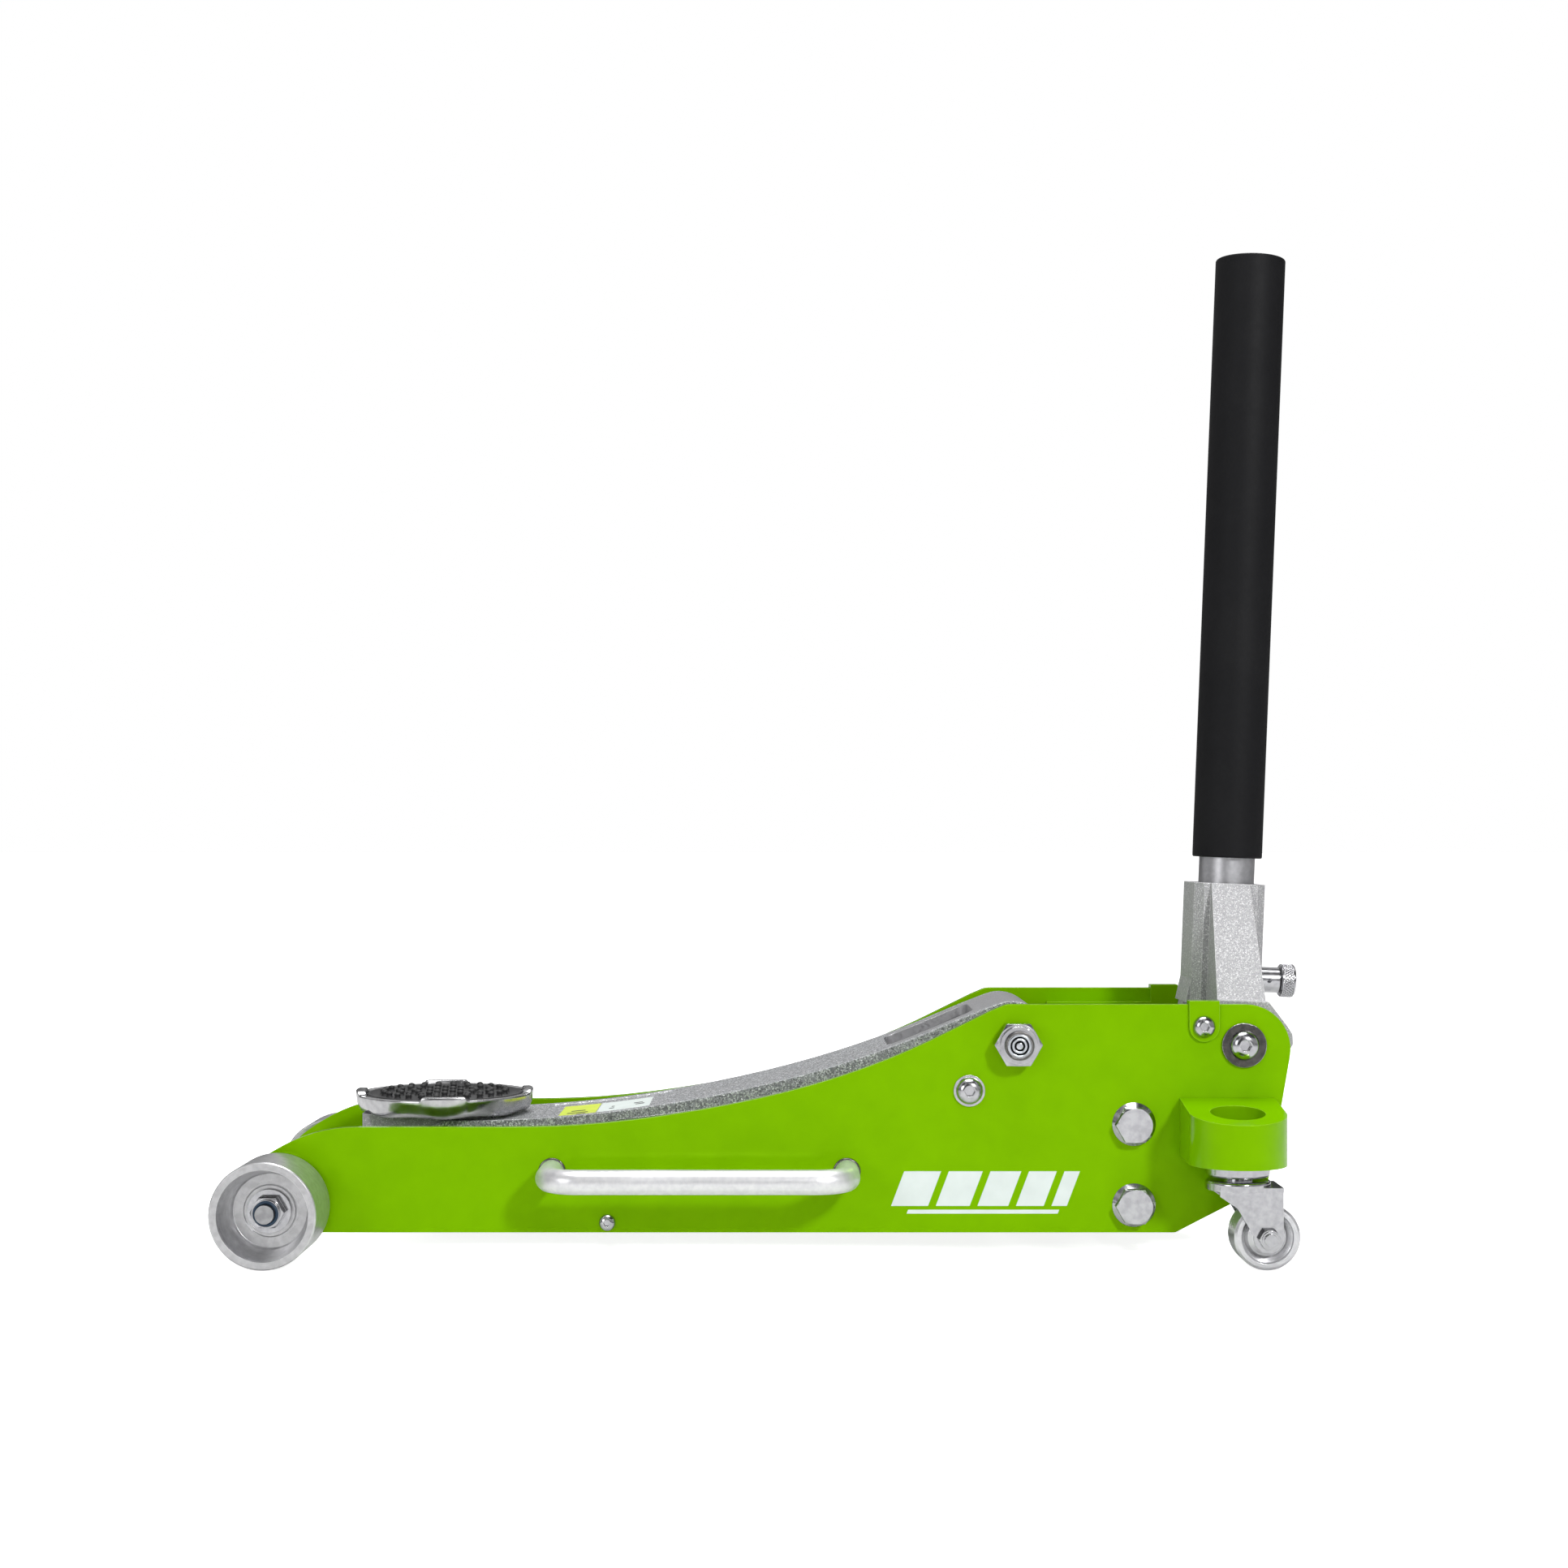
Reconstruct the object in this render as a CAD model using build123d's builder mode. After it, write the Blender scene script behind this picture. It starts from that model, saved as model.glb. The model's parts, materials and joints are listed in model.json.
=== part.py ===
from build123d import *
import math
import os

# A low-profile trolley jack. +X runs from the saddle to the handle, +Y to the right-hand side,
# +Z up, and the origin is on the ground under the middle of the jack. Millimetres.

# ---- chassis ----
plate_gap = 158.0
plate_t = 6.0
plate_bottom_z = 15.8
plate_top_z = 163.7
nose_top_z = 84.0
nose_overhang = 24.1
nose_reach = 104.9
tail_x = 340.55
heel_x = 260.35
heel_z = 46.6
tail_corner_r = 29.0
screw_gap = 0.05
fit = 0.06
play = 0.3

# ---- lift arm and levelling linkage ----
arm_pivot_x = 157.75
arm_pivot_z = 138.3
arm_reach = 374.0
arm_drop = 76.3
arm_side_gap = 28.0
arm_taper = 9.0
arm_wall = 9.0
deck_t = 7.0
deck_start = 28.0
arm_nose_r = 21.0
arm_hub_r = 25.0
pivot_bolt_r = 9.0
bush_wall = 3.0
link_dx = -31.0
link_dz = -30.5
link_bolt_r = 5.0
link_pin_r = 6.0
link_t = 6.0
link_h = 14.0
link_eye_r = 11.0
link_side_gap = 11.0
saddle_pin_r = 7.0

# ---- crank, ram and power unit ----
crank_r = 58.0
crank_deg = 30.0
crank_pin_r = 6.0
crank_boss_r = 14.0
roller_r = 11.0
roller_half = 24.0
roller_gap = 0.8
ram_z = 85.0
ram_rod_r = 13.0
ram_bore_r = 17.0
ram_tube_r = 22.0
ram_travel = 58.0
ram_head_r = 20.0
ram_head_t = 12.0
spring_y = 31.0
spring_z = 104.0
spring_r = 4.5
block_len = 40.0
block_half = 36.0
block_bottom_z = 24.0
block_top_z = 97.0
foot_half = 27.0
foot_bottom_z = 46.0
foot_top_z = 56.0
foot_end_x = 317.75
tank_r = 28.5
tank_wall = 2.5
unit_bolt_r = 7.0
unit_bolt_high_z = 86.0
unit_bolt_low_z = 33.5

# ---- handle yoke, handle and pump ----
yoke_x = 304.95
yoke_z = 137.2
yoke_bolt_r = 6.0
handle_deg = 2.26
socket_front = 25.2
socket_rear = 22.5
socket_half = 27.0
socket_base = 22.0
socket_top = 103.5
leg_side_gap = 5.0
leg_t = 18.0
leg_r = 20.0
tube_r = 18.8
tube_wall = 3.3
tube_start = 27.0
tube_end = 529.6
grip_start = 120.9
grip_r = 23.5
splice_r = 16.2
splice_len = 100.0
lock_height = 38.4
pump_arm = 20.0
pump_deg = 9.0
pump_half_swing = 31.0
pump_roller_r = 6.0
pump_side = 15.0
pump_gap = 0.4
pump_rod_r = 4.5
pump_barrel_r = 9.5

# ---- saddle ----
saddle_back = 9.2
saddle_r = 59.5
saddle_base_z = 86.5
saddle_turn_deg = 7.3
saddle_rim_z = 97.8
lug_h = 2.4
lug_w = 32.0
pad_r = 52.3
pad_floor_z = 93.2
pad_t = 3.6
nub_r = 2.4
nub_h = 3.8
nub_pitch = 10.4
stem_r = 12.5
stem_len = 34.5
seat_block_front = 61.0

# ---- wheels and casters ----
wheel_r = 34.0
wheel_w = 46.0
wheel_gap = 3.0
axle_r = 10.0
axle_journal_r = 8.0
axle_thread_r = 6.0
caster_x = 293.85
caster_stand_off = 37.0
bracket_half = 30.8
bracket_bottom_z = 65.2
bracket_top_z = 103.2
bracket_slope = 9.8
caster_r = 20.85
caster_w = 24.0
caster_trail = 16.5
caster_disc_r = 20.0
fork_t = 2.5
fork_top_z = 56.0
fork_head_t = 6.0

# ---- carrying handles, cover and small fasteners ----
carry_front_x = -143.85
carry_rear_x = 47.35
carry_z = 55.2
carry_r = 7.9
carry_stand_off = 47.0
carry_bend_r = 20.0
brace_x = -108.05
brace_z = 22.2
brace_r = 6.0
cover_z = 146.0
cover_t = 2.0
ear_x = 269.25
ear_w = 19.5
ear_screw_x = 278.75
ear_screw_z = 149.3

# ---- places that follow from the sizes above ----
plate_in = plate_gap / 2
plate_out = plate_in + plate_t
arm_half = plate_in - arm_side_gap
arm_front_half = arm_half - arm_taper
saddle_pin_x = arm_pivot_x - arm_reach
saddle_pin_z = arm_pivot_z - arm_drop
axle_x = saddle_pin_x - nose_reach
link_bolt_x = arm_pivot_x + link_dx
link_bolt_z = arm_pivot_z + link_dz
link_pin_x = saddle_pin_x + link_dx
link_pin_z = saddle_pin_z + link_dz
link_out = plate_in - link_side_gap
link_in = link_out - link_t
crank_x = arm_pivot_x + crank_r * math.sin(math.radians(crank_deg))
crank_z = arm_pivot_z - crank_r * math.cos(math.radians(crank_deg))
head_x = crank_x + roller_r + roller_gap
block_x = head_x + ram_head_t + 3.0
unit_bolt_x = block_x + block_len / 2
tank_x = block_x + block_len
saddle_x = saddle_pin_x - saddle_back
seat_half = arm_front_half - arm_wall - 0.4
leg_out = plate_in - leg_side_gap
leg_in = leg_out - leg_t
caster_y = plate_out + caster_stand_off
sides = (-1, 1)

both = (Align.CENTER, Align.CENTER, Align.CENTER)
on_base = (Align.CENTER, Align.CENTER, Align.MIN)
handle_plane = Plane(
    origin=(yoke_x, 0, yoke_z),
    x_dir=(math.cos(math.radians(handle_deg)), 0, -math.sin(math.radians(handle_deg))),
    z_dir=(math.sin(math.radians(handle_deg)), 0, math.cos(math.radians(handle_deg))),
)
pieces = {}


# A plane at a side's distance y whose normal points away from the middle of the jack.
def outward(x, z, side, y):
    return Plane(origin=(x, side * y, z), x_dir=(1, 0, 0), z_dir=(0, side, 0))


# A straight round bar from a plane along its normal, added to or cut from the open part.
def bar(plane, radius, length, mode=Mode.ADD):
    with Locations(plane):
        Cylinder(radius, length, align=on_base, mode=mode)


# A round bar across the jack, between two y values.
def cross(x, z, y0, y1, radius, mode=Mode.ADD):
    bar(Plane(origin=(x, y0, z), x_dir=(1, 0, 0), z_dir=(0, 1, 0)), radius, y1 - y0, mode)


# A flat outline of (x, z) points, given depth between two y values.
def slab(points, y0, y1, mode=Mode.ADD):
    with BuildSketch(Plane.XZ.offset(-y0)) as outline:
        with BuildLine():
            Polyline(*points, close=True)
        make_face()
    extrude(outline.sketch, amount=-(y1 - y0), mode=mode)


# A box between two corners.
def block(low, high, mode=Mode.ADD):
    size = [high[i] - low[i] for i in range(3)]
    middle = [(high[i] + low[i]) / 2 for i in range(3)]
    with Locations(tuple(middle)):
        Box(*size, align=both, mode=mode)


# An outline of (radius, height) points turned about the local Z axis.
def turned(points, mode=Mode.ADD):
    with BuildSketch(Plane.XZ) as outline:
        with BuildLine():
            Polyline(*points, close=True)
        make_face()
    revolve(outline.sketch, axis=Axis.Z, mode=mode)


# A group of equal fasteners, one at each seat.
def grouped(pattern, seats):
    with BuildPart() as group:
        with Locations(*seats):
            add(pattern)
    return group.part


# A hexagon nut or bolt head with its top corners turned off and an optional collar and hole.
def hex_piece(flats, height, hole_r=0, collar_r=0, collar_h=0):
    with BuildPart() as piece:
        with BuildSketch():
            RegularPolygon(flats / 2, 6, major_radius=False)
        extrude(amount=height)
        Cone(flats / 2 + height * 1.73, flats / 2, height, align=on_base, mode=Mode.INTERSECT)
        if collar_h:
            bar(Plane.XY.offset(height), collar_r, collar_h)
        if hole_r:
            bar(Plane.XY, hole_r, height + collar_h, Mode.SUBTRACT)
    return piece.part


# A domed screw with a hexagon socket; its seat is z = 0 and its shank runs down.
def button_screw(head_r, head_h, socket, shank_r, shank_len, ring_r=0, ring_t=0):
    with BuildPart() as screw:
        if ring_r:
            bar(Plane.XY, ring_r, ring_t)
        with BuildSketch(Plane.XZ) as dome:
            with BuildLine():
                Line((0, 0), (head_r, 0))
                Line((head_r, 0), (head_r, ring_t + 0.8))
                ThreePointArc(
                    (head_r, ring_t + 0.8),
                    (head_r * 0.8, ring_t + head_h * 0.72),
                    (head_r * 0.45, ring_t + head_h),
                )
                Line((head_r * 0.45, ring_t + head_h), (0, ring_t + head_h))
                Line((0, ring_t + head_h), (0, 0))
            make_face()
        revolve(dome.sketch, axis=Axis.Z)
        with BuildSketch(Plane.XY.offset(ring_t + head_h)) as hexagon:
            RegularPolygon(socket / 2, 6, major_radius=False)
        extrude(hexagon.sketch, amount=-head_h * 0.6, mode=Mode.SUBTRACT)
        bar(Plane.XY.offset(-shank_len), shank_r, shank_len)
    return screw.part


# A stand-in for a coil spring: a thin sleeve with one ring for each turn.
def coil(length, radius, wire, turns):
    pitch = length / turns
    inner = radius - 2 * wire
    points = [(inner, 0)]
    for turn in range(turns):
        low = turn * pitch
        points += [(radius, low), (radius, low + wire), (radius - wire, low + wire * 1.5)]
        points += [(radius - wire, low + pitch - wire * 0.5)]
    points += [(radius - wire, length), (inner, length)]
    with BuildPart() as spring:
        turned(points)
    return spring.part


# ================= side plates =================
swoop_top_x = arm_pivot_x - 17.4
swoop_top_z = plate_top_z - 4.5
swoop_end_x = saddle_pin_x + 41.0
swoop_run = swoop_top_x - swoop_end_x
swoop_rise = swoop_top_z - nose_top_z
swoop_shares = ((0.133, 0.013), (0.400, 0.146), (0.667, 0.405), (0.867, 0.727))
swoop_points = [(swoop_end_x + run * swoop_run, nose_top_z + rise * swoop_rise) for run, rise in swoop_shares]
nose_x = axle_x - nose_overhang
nose_low_z = wheel_r + 10.0
nose_flat_x = axle_x + 50.9


def side_plate(side):
    with BuildPart() as plate:
        with BuildSketch(Plane.XZ.offset(-side * plate_in)) as face:
            with BuildLine():
                Polyline(
                    (nose_x, nose_low_z),
                    (nose_x, plate_bottom_z),
                    (heel_x, plate_bottom_z),
                    (heel_x + 60.0, heel_z),
                    (tail_x, plate_top_z),
                    (arm_pivot_x - 6.9, plate_top_z),
                    (swoop_top_x, swoop_top_z),
                )
                Spline(
                    (swoop_top_x, swoop_top_z),
                    *reversed(swoop_points),
                    (swoop_end_x, nose_top_z),
                    tangents=((-0.9, -0.43), (-1, 0)),
                )
                Line((swoop_end_x, nose_top_z), (nose_flat_x, nose_top_z))
                Spline(
                    (nose_flat_x, nose_top_z),
                    (axle_x + 12.8, nose_top_z - 7.2),
                    (axle_x - 15.9, nose_top_z - 23.7),
                    (nose_x, nose_low_z),
                    tangents=((-1, 0), (0, -1)),
                )
            make_face()
            corners = face.vertices()
            fillet(corners.sort_by_distance((tail_x, plate_top_z))[0], tail_corner_r)
            fillet(face.vertices().sort_by_distance((heel_x + 60.0, heel_z))[0], 14.0)
            fillet(face.vertices().sort_by_distance((heel_x, plate_bottom_z))[0], 5.0)
            fillet(face.vertices().sort_by_distance((nose_x, plate_bottom_z))[0], 16.0)
            fillet(face.vertices().sort_by_distance((arm_pivot_x - 6.9, plate_top_z))[0], 14.0)
            holes = (
                (axle_x, wheel_r, axle_journal_r),
                (arm_pivot_x, arm_pivot_z, pivot_bolt_r),
                (link_bolt_x, link_bolt_z, link_bolt_r),
                (unit_bolt_x, unit_bolt_high_z, unit_bolt_r),
                (unit_bolt_x, unit_bolt_low_z, unit_bolt_r),
                (yoke_x, yoke_z, yoke_bolt_r),
                (ear_screw_x, ear_screw_z, 4.0),
                (brace_x, brace_z, 3.0),
                (carry_front_x, carry_z, carry_r),
                (carry_rear_x, carry_z, carry_r),
            )
            for x, z, radius in holes:
                with Locations((x, z)):
                    Circle(radius + screw_gap, mode=Mode.SUBTRACT)
        extrude(amount=-side * plate_t)
    return plate.part


pieces["side_plate_left"] = side_plate(-1)
pieces["side_plate_right"] = side_plate(1)

# ================= front axle and its wheels =================
hub_out = plate_out + wheel_gap + 23.0
nut_h = 10.0
washer_t = 2.0
axle_end = hub_out + play + washer_t + nut_h + 4.5

with BuildPart() as front_axle:
    cross(axle_x, wheel_r, -plate_in, plate_in, axle_r)
    cross(axle_x, wheel_r, -hub_out - play, hub_out + play, axle_journal_r)
    cross(axle_x, wheel_r, -axle_end, axle_end, axle_thread_r)
pieces["front_axle"] = front_axle.part

with BuildPart() as wheel_washer:
    Cylinder(14.0, washer_t, align=on_base)
    Cylinder(axle_thread_r + screw_gap, washer_t, align=on_base, mode=Mode.SUBTRACT)
wheel_nut = hex_piece(19.0, nut_h - 2.5, axle_thread_r + screw_gap, 8.6, 2.5)
with BuildPart() as wheel_nuts:
    for side in sides:
        with Locations(outward(axle_x, wheel_r, side, hub_out + play)):
            add(wheel_washer.part)
        with Locations(outward(axle_x, wheel_r, side, hub_out + play + washer_t + 0.02)):
            add(wheel_nut)
pieces["front_wheel_nuts"] = wheel_nuts.part

web_w = 23.0
with BuildPart() as wheel_pattern:
    turned(
        (
            (axle_journal_r + fit, -2.7),
            (12.5, -2.7),
            (12.5, 3.0),
            (24.0, 3.0),
            (wheel_r - 5.4, 0.4),
            (wheel_r - 0.8, 0.0),
            (wheel_r, 0.8),
            (wheel_r, wheel_w - 0.8),
            (wheel_r - 0.8, wheel_w),
            (wheel_r - 5.0, wheel_w),
            (wheel_r - 9.4, web_w + 1.0),
            (wheel_r - 10.4, web_w - 1.0),
            (17.0, web_w - 1.0),
            (16.2, web_w),
            (axle_journal_r + fit, web_w),
        )
    )
for side, name in ((-1, "front_wheel_left"), (1, "front_wheel_right")):
    pieces[name] = grouped(wheel_pattern.part, [outward(axle_x, wheel_r, side, plate_out + wheel_gap)])

# ================= cross brace between the plates =================
with BuildPart() as brace:
    cross(brace_x, brace_z, -plate_in, plate_in, brace_r)
    for side in sides:
        bar(outward(brace_x, brace_z, side, plate_in - 16.0), 3.0 + screw_gap, 16.0, Mode.SUBTRACT)
pieces["cross_brace"] = brace.part
brace_screw = button_screw(5.3, 3.3, 4.0, 3.0, plate_t + 14.0)

# ================= arm pivot bolt, nut and spacers =================
bolt_end = plate_out + 19.0
bolt_head = hex_piece(27.0, 11.5)
with BuildPart() as arm_bolt:
    cross(arm_pivot_x, arm_pivot_z, -bolt_end, plate_out, pivot_bolt_r)
    with Locations(outward(arm_pivot_x, arm_pivot_z, 1, plate_out)):
        add(bolt_head)
pieces["arm_pivot_bolt"] = arm_bolt.part
pieces["arm_pivot_nut"] = grouped(
    hex_piece(27.0, 12.5, pivot_bolt_r + screw_gap, 12.0, 3.5),
    [outward(arm_pivot_x, arm_pivot_z, -1, plate_out)],
)
with BuildPart() as arm_spacers:
    for side in sides:
        spacer = outward(arm_pivot_x, arm_pivot_z, side, arm_half + play)
        bar(spacer, 14.0, arm_side_gap - play)
        bar(spacer, pivot_bolt_r + screw_gap, arm_side_gap - play, Mode.SUBTRACT)
pieces["arm_spacers"] = arm_spacers.part

# ================= levelling rods and their bolts =================
link_nut_t = 6.5
link_bolt = button_screw(8.8, 5.6, 6.0, link_bolt_r, plate_out - link_in + play + link_nut_t, 10.2, 1.4)
pieces["tie_rod_bolts"] = grouped(
    link_bolt, [outward(link_bolt_x, link_bolt_z, side, plate_out) for side in sides]
)
link_nut = hex_piece(15.0, link_nut_t, link_bolt_r + screw_gap)
with BuildPart() as link_spacers:
    for side in sides:
        spacer = outward(link_bolt_x, link_bolt_z, side, link_out + play)
        bar(spacer, 9.0, link_side_gap - play)
        bar(spacer, link_bolt_r + screw_gap, link_side_gap - play, Mode.SUBTRACT)
pieces["tie_rod_spacers"] = link_spacers.part


def tie_rod(side):
    run = math.hypot(arm_reach, arm_drop)
    rod_dir = (-arm_reach / run, -arm_drop / run)
    across_dir = (-rod_dir[1] * link_h / 2, rod_dir[0] * link_h / 2)
    ends = ((link_bolt_x, link_bolt_z), (link_pin_x, link_pin_z))
    corners = []
    for (x, z), sign in ((ends[0], 1), (ends[1], 1), (ends[1], -1), (ends[0], -1)):
        corners.append((x + sign * across_dir[0], z + sign * across_dir[1]))
    near, far = sorted((side * link_in, side * link_out))
    with BuildPart() as rod:
        slab(corners, near, far)
        for x, z in ends:
            cross(x, z, near, far, link_eye_r)
        cross(*ends[0], near, far, link_bolt_r + fit, Mode.SUBTRACT)
        cross(*ends[1], near, far, link_pin_r + play, Mode.SUBTRACT)
    return rod.part


pieces["tie_rod_left"] = tie_rod(-1)
pieces["tie_rod_right"] = tie_rod(1)

# ================= lift arm =================
arm_top_shares = ((0.180, 0.029), (0.330, 0.102), (0.480, 0.220), (0.625, 0.374), (0.853, 0.722))
hub_top_dx = -8.5
hub_top_dz = 23.5
arm_top_x0 = saddle_pin_x
arm_top_z0 = saddle_pin_z + arm_nose_r
arm_top_run = arm_pivot_x + hub_top_dx - arm_top_x0
arm_top_rise = arm_pivot_z + hub_top_dz - arm_top_z0
arm_tub_x = arm_pivot_x - 53.0
arm_tub_len = 58.0
arm_tub_half = 32.0
arm_tub_depth = 24.0
label_x0 = saddle_pin_x + 60.0
label_x1 = saddle_pin_x + 150.0
label_depth = 0.8
label_margin = 4.0
label_corner_r = 6.0


# The points of the arm's upper edge, lowered by a depth.
def arm_top(depth):
    shares = ((0, 0), *arm_top_shares, (1, 1))
    return [(arm_top_x0 + run * arm_top_run, arm_top_z0 + rise * arm_top_rise - depth) for run, rise in shares]


# The arm's plan outline, narrowed by an inset on each side.
def arm_plan(inset):
    front = saddle_pin_x - arm_nose_r - 5.0
    rear = crank_x + crank_boss_r + 5.0
    half_points = (
        (front, arm_front_half - inset),
        (saddle_pin_x + 15.0, arm_front_half - inset),
        (arm_pivot_x - 85.0, arm_half - inset),
        (rear, arm_half - inset),
    )
    with BuildSketch() as plan:
        with BuildLine():
            Polyline(*half_points, *((x, -y) for x, y in reversed(half_points)), close=True)
        make_face()
    return plan.sketch


arm_outline = arm_plan(0)
arm_inner_outline = arm_plan(arm_wall)
crank_side = (crank_x + crank_boss_r * 0.93, crank_z + crank_boss_r * 0.37)
crank_under = (crank_x - crank_boss_r * 0.10, crank_z - crank_boss_r * 0.995)
tall = plate_top_z * 2

with BuildPart() as arm:
    with BuildSketch(Plane.XZ.offset(-arm_half)) as arm_side:
        with BuildLine():
            Spline(*arm_top(0), tangents=((1, 0), (0.94, 0.34)))
            Polyline(
                arm_top(0)[-1],
                (arm_pivot_x + arm_hub_r * 0.93, arm_pivot_z + arm_hub_r * 0.37),
                crank_side,
                crank_under,
                (saddle_pin_x + 2.0, saddle_pin_z - arm_nose_r),
                arm_top(0)[0],
            )
        make_face()
        with Locations((saddle_pin_x, saddle_pin_z)):
            Circle(arm_nose_r)
        with Locations((arm_pivot_x, arm_pivot_z)):
            Circle(arm_hub_r)
        with Locations((crank_x, crank_z)):
            Circle(crank_boss_r)
    extrude(amount=2 * arm_half)
    extrude(arm_outline, amount=tall, mode=Mode.INTERSECT)
    # the hollow underside, open at the front for the saddle block
    with BuildSketch(Plane.XZ.offset(-arm_half)) as hollow_side:
        with BuildLine():
            lower = arm_top(deck_t)
            deck_front = saddle_pin_x + deck_start
            Spline(*lower, tangents=((1, 0), (0.94, 0.34)))
            Polyline(
                lower[-1],
                (arm_pivot_x + 80.0, lower[-1][1]),
                (arm_pivot_x + 80.0, 0),
                (saddle_pin_x - 40.0, 0),
                (saddle_pin_x - 40.0, lower[0][1]),
                lower[0],
            )
        make_face()
        with Locations(((saddle_pin_x - 40.0 + deck_front) / 2, saddle_pin_z)):
            Rectangle(deck_front - saddle_pin_x + 40.0, 100.0)
    hollow = extrude(hollow_side.sketch, amount=2 * arm_half, mode=Mode.PRIVATE)
    inner_body = extrude(arm_inner_outline, amount=tall, mode=Mode.PRIVATE)
    add(hollow & inner_body, mode=Mode.SUBTRACT)
    # the tub under the hand pocket, and the pivot tube
    slab(
        (
            (arm_tub_x - arm_tub_len / 2 - 6.0, arm_pivot_z - 16.0),
            (arm_tub_x - arm_tub_len / 2 - 6.0, arm_pivot_z - 34.0),
            (arm_tub_x + arm_tub_len / 2 + 6.0, arm_pivot_z - 20.0),
            (arm_tub_x + arm_tub_len / 2 + 6.0, arm_pivot_z + 6.0),
        ),
        -arm_tub_half - 5.0,
        arm_tub_half + 5.0,
    )
    cross(arm_pivot_x, arm_pivot_z, -arm_half, arm_half, arm_hub_r)
    with BuildSketch(Plane.XY.offset(arm_pivot_z - 20.0)) as pocket:
        with Locations((arm_tub_x, 0)):
            RectangleRounded(arm_tub_len, 2 * arm_tub_half, 7.0)
    extrude(pocket.sketch, amount=60.0, mode=Mode.SUBTRACT)
    # the shallow sunk panel for the label, following the arm's top
    panel_half = arm_front_half - label_margin
    with BuildSketch(Plane.XZ.offset(-panel_half)) as above_panel:
        with BuildLine():
            panel_line = arm_top(label_depth)
            Spline(*panel_line, tangents=((1, 0), (0.94, 0.34)))
            Polyline(panel_line[-1], (panel_line[-1][0], tall), (panel_line[0][0], tall), panel_line[0])
        make_face()
    with BuildSketch() as panel_plan:
        with Locations(((label_x0 + label_x1) / 2, 0)):
            RectangleRounded(label_x1 - label_x0, 2 * panel_half, label_corner_r)
    over_panel = extrude(above_panel.sketch, amount=2 * panel_half, mode=Mode.PRIVATE)
    panel_column = extrude(panel_plan.sketch, amount=tall, mode=Mode.PRIVATE)
    add(over_panel & panel_column, mode=Mode.SUBTRACT)
    bore_r = pivot_bolt_r + fit + bush_wall
    cross(arm_pivot_x, arm_pivot_z, -arm_half, arm_half, bore_r + screw_gap, Mode.SUBTRACT)
    cross(crank_x, crank_z, -arm_half, arm_half, crank_pin_r + screw_gap, Mode.SUBTRACT)
    cross(saddle_pin_x, saddle_pin_z, -arm_half, arm_half, saddle_pin_r + screw_gap, Mode.SUBTRACT)
pieces["lift_arm"] = arm.part

with BuildPart() as arm_bush:
    cross(arm_pivot_x, arm_pivot_z, -arm_half, arm_half, bore_r)
    cross(arm_pivot_x, arm_pivot_z, -arm_half, arm_half, pivot_bolt_r + fit, Mode.SUBTRACT)
pieces["arm_bush"] = arm_bush.part

with BuildPart() as crank_pin:
    cross(crank_x, crank_z, -arm_half, arm_half, crank_pin_r)
pieces["crank_pin"] = crank_pin.part

with BuildPart() as crank_roller:
    cross(crank_x, crank_z, -roller_half, roller_half, roller_r)
    cross(crank_x, crank_z, -roller_half, roller_half, crank_pin_r + screw_gap, Mode.SUBTRACT)
pieces["crank_roller"] = crank_roller.part

pin_in = seat_half - 12.0
with BuildPart() as saddle_pins:
    for side in sides:
        bar(outward(saddle_pin_x, saddle_pin_z, side, pin_in), saddle_pin_r, arm_front_half - pin_in)
pieces["saddle_block_pins"] = saddle_pins.part

# ================= saddle block =================
block_top = saddle_base_z - play
block_boss_r = 17.0
stem_floor_z = block_top - 30.0
with BuildPart() as seat_block:
    slab(
        (
            (saddle_pin_x - seat_block_front, block_top),
            (saddle_pin_x + block_boss_r, block_top),
            (saddle_pin_x + block_boss_r, saddle_pin_z),
            (saddle_pin_x, saddle_pin_z - block_boss_r),
            (link_pin_x + 4.0, link_pin_z - link_eye_r + 0.8),
            (link_pin_x - link_eye_r, link_pin_z),
            (saddle_pin_x - seat_block_front, saddle_pin_z + 2.0),
        ),
        -seat_half,
        seat_half,
    )
    cross(saddle_pin_x, saddle_pin_z, -seat_half, seat_half, block_boss_r)
    cross(link_pin_x, link_pin_z, -seat_half, seat_half, link_eye_r)
    uprights = seat_block.edges().filter_by(Axis.Z).group_by(Axis.X)[0]
    fillet(uprights, 7.0)
    # room below the stem for its clip, with a wall left on each side
    block(
        (link_pin_x - link_eye_r - 5.0, -seat_half + 13.0, 0),
        (saddle_pin_x + block_boss_r + 5.0, seat_half - 13.0, stem_floor_z),
        Mode.SUBTRACT,
    )
    bar(Plane(origin=(saddle_x, 0, 0)), stem_r + fit, block_top, Mode.SUBTRACT)
    for side in sides:
        bar(
            outward(saddle_pin_x, saddle_pin_z, side, pin_in - 0.5),
            saddle_pin_r + fit,
            seat_half - pin_in + 0.5,
            Mode.SUBTRACT,
        )
    cross(link_pin_x, link_pin_z, -seat_half, seat_half, link_pin_r + screw_gap, Mode.SUBTRACT)
pieces["saddle_block"] = seat_block.part

with BuildPart() as link_pin:
    cross(link_pin_x, link_pin_z, -link_out - play, link_out + play, link_pin_r)
    for side in sides:
        bar(outward(link_pin_x, link_pin_z, side, link_out + play), 9.0, 2.5)
pieces["tie_rod_pin"] = link_pin.part

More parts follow.
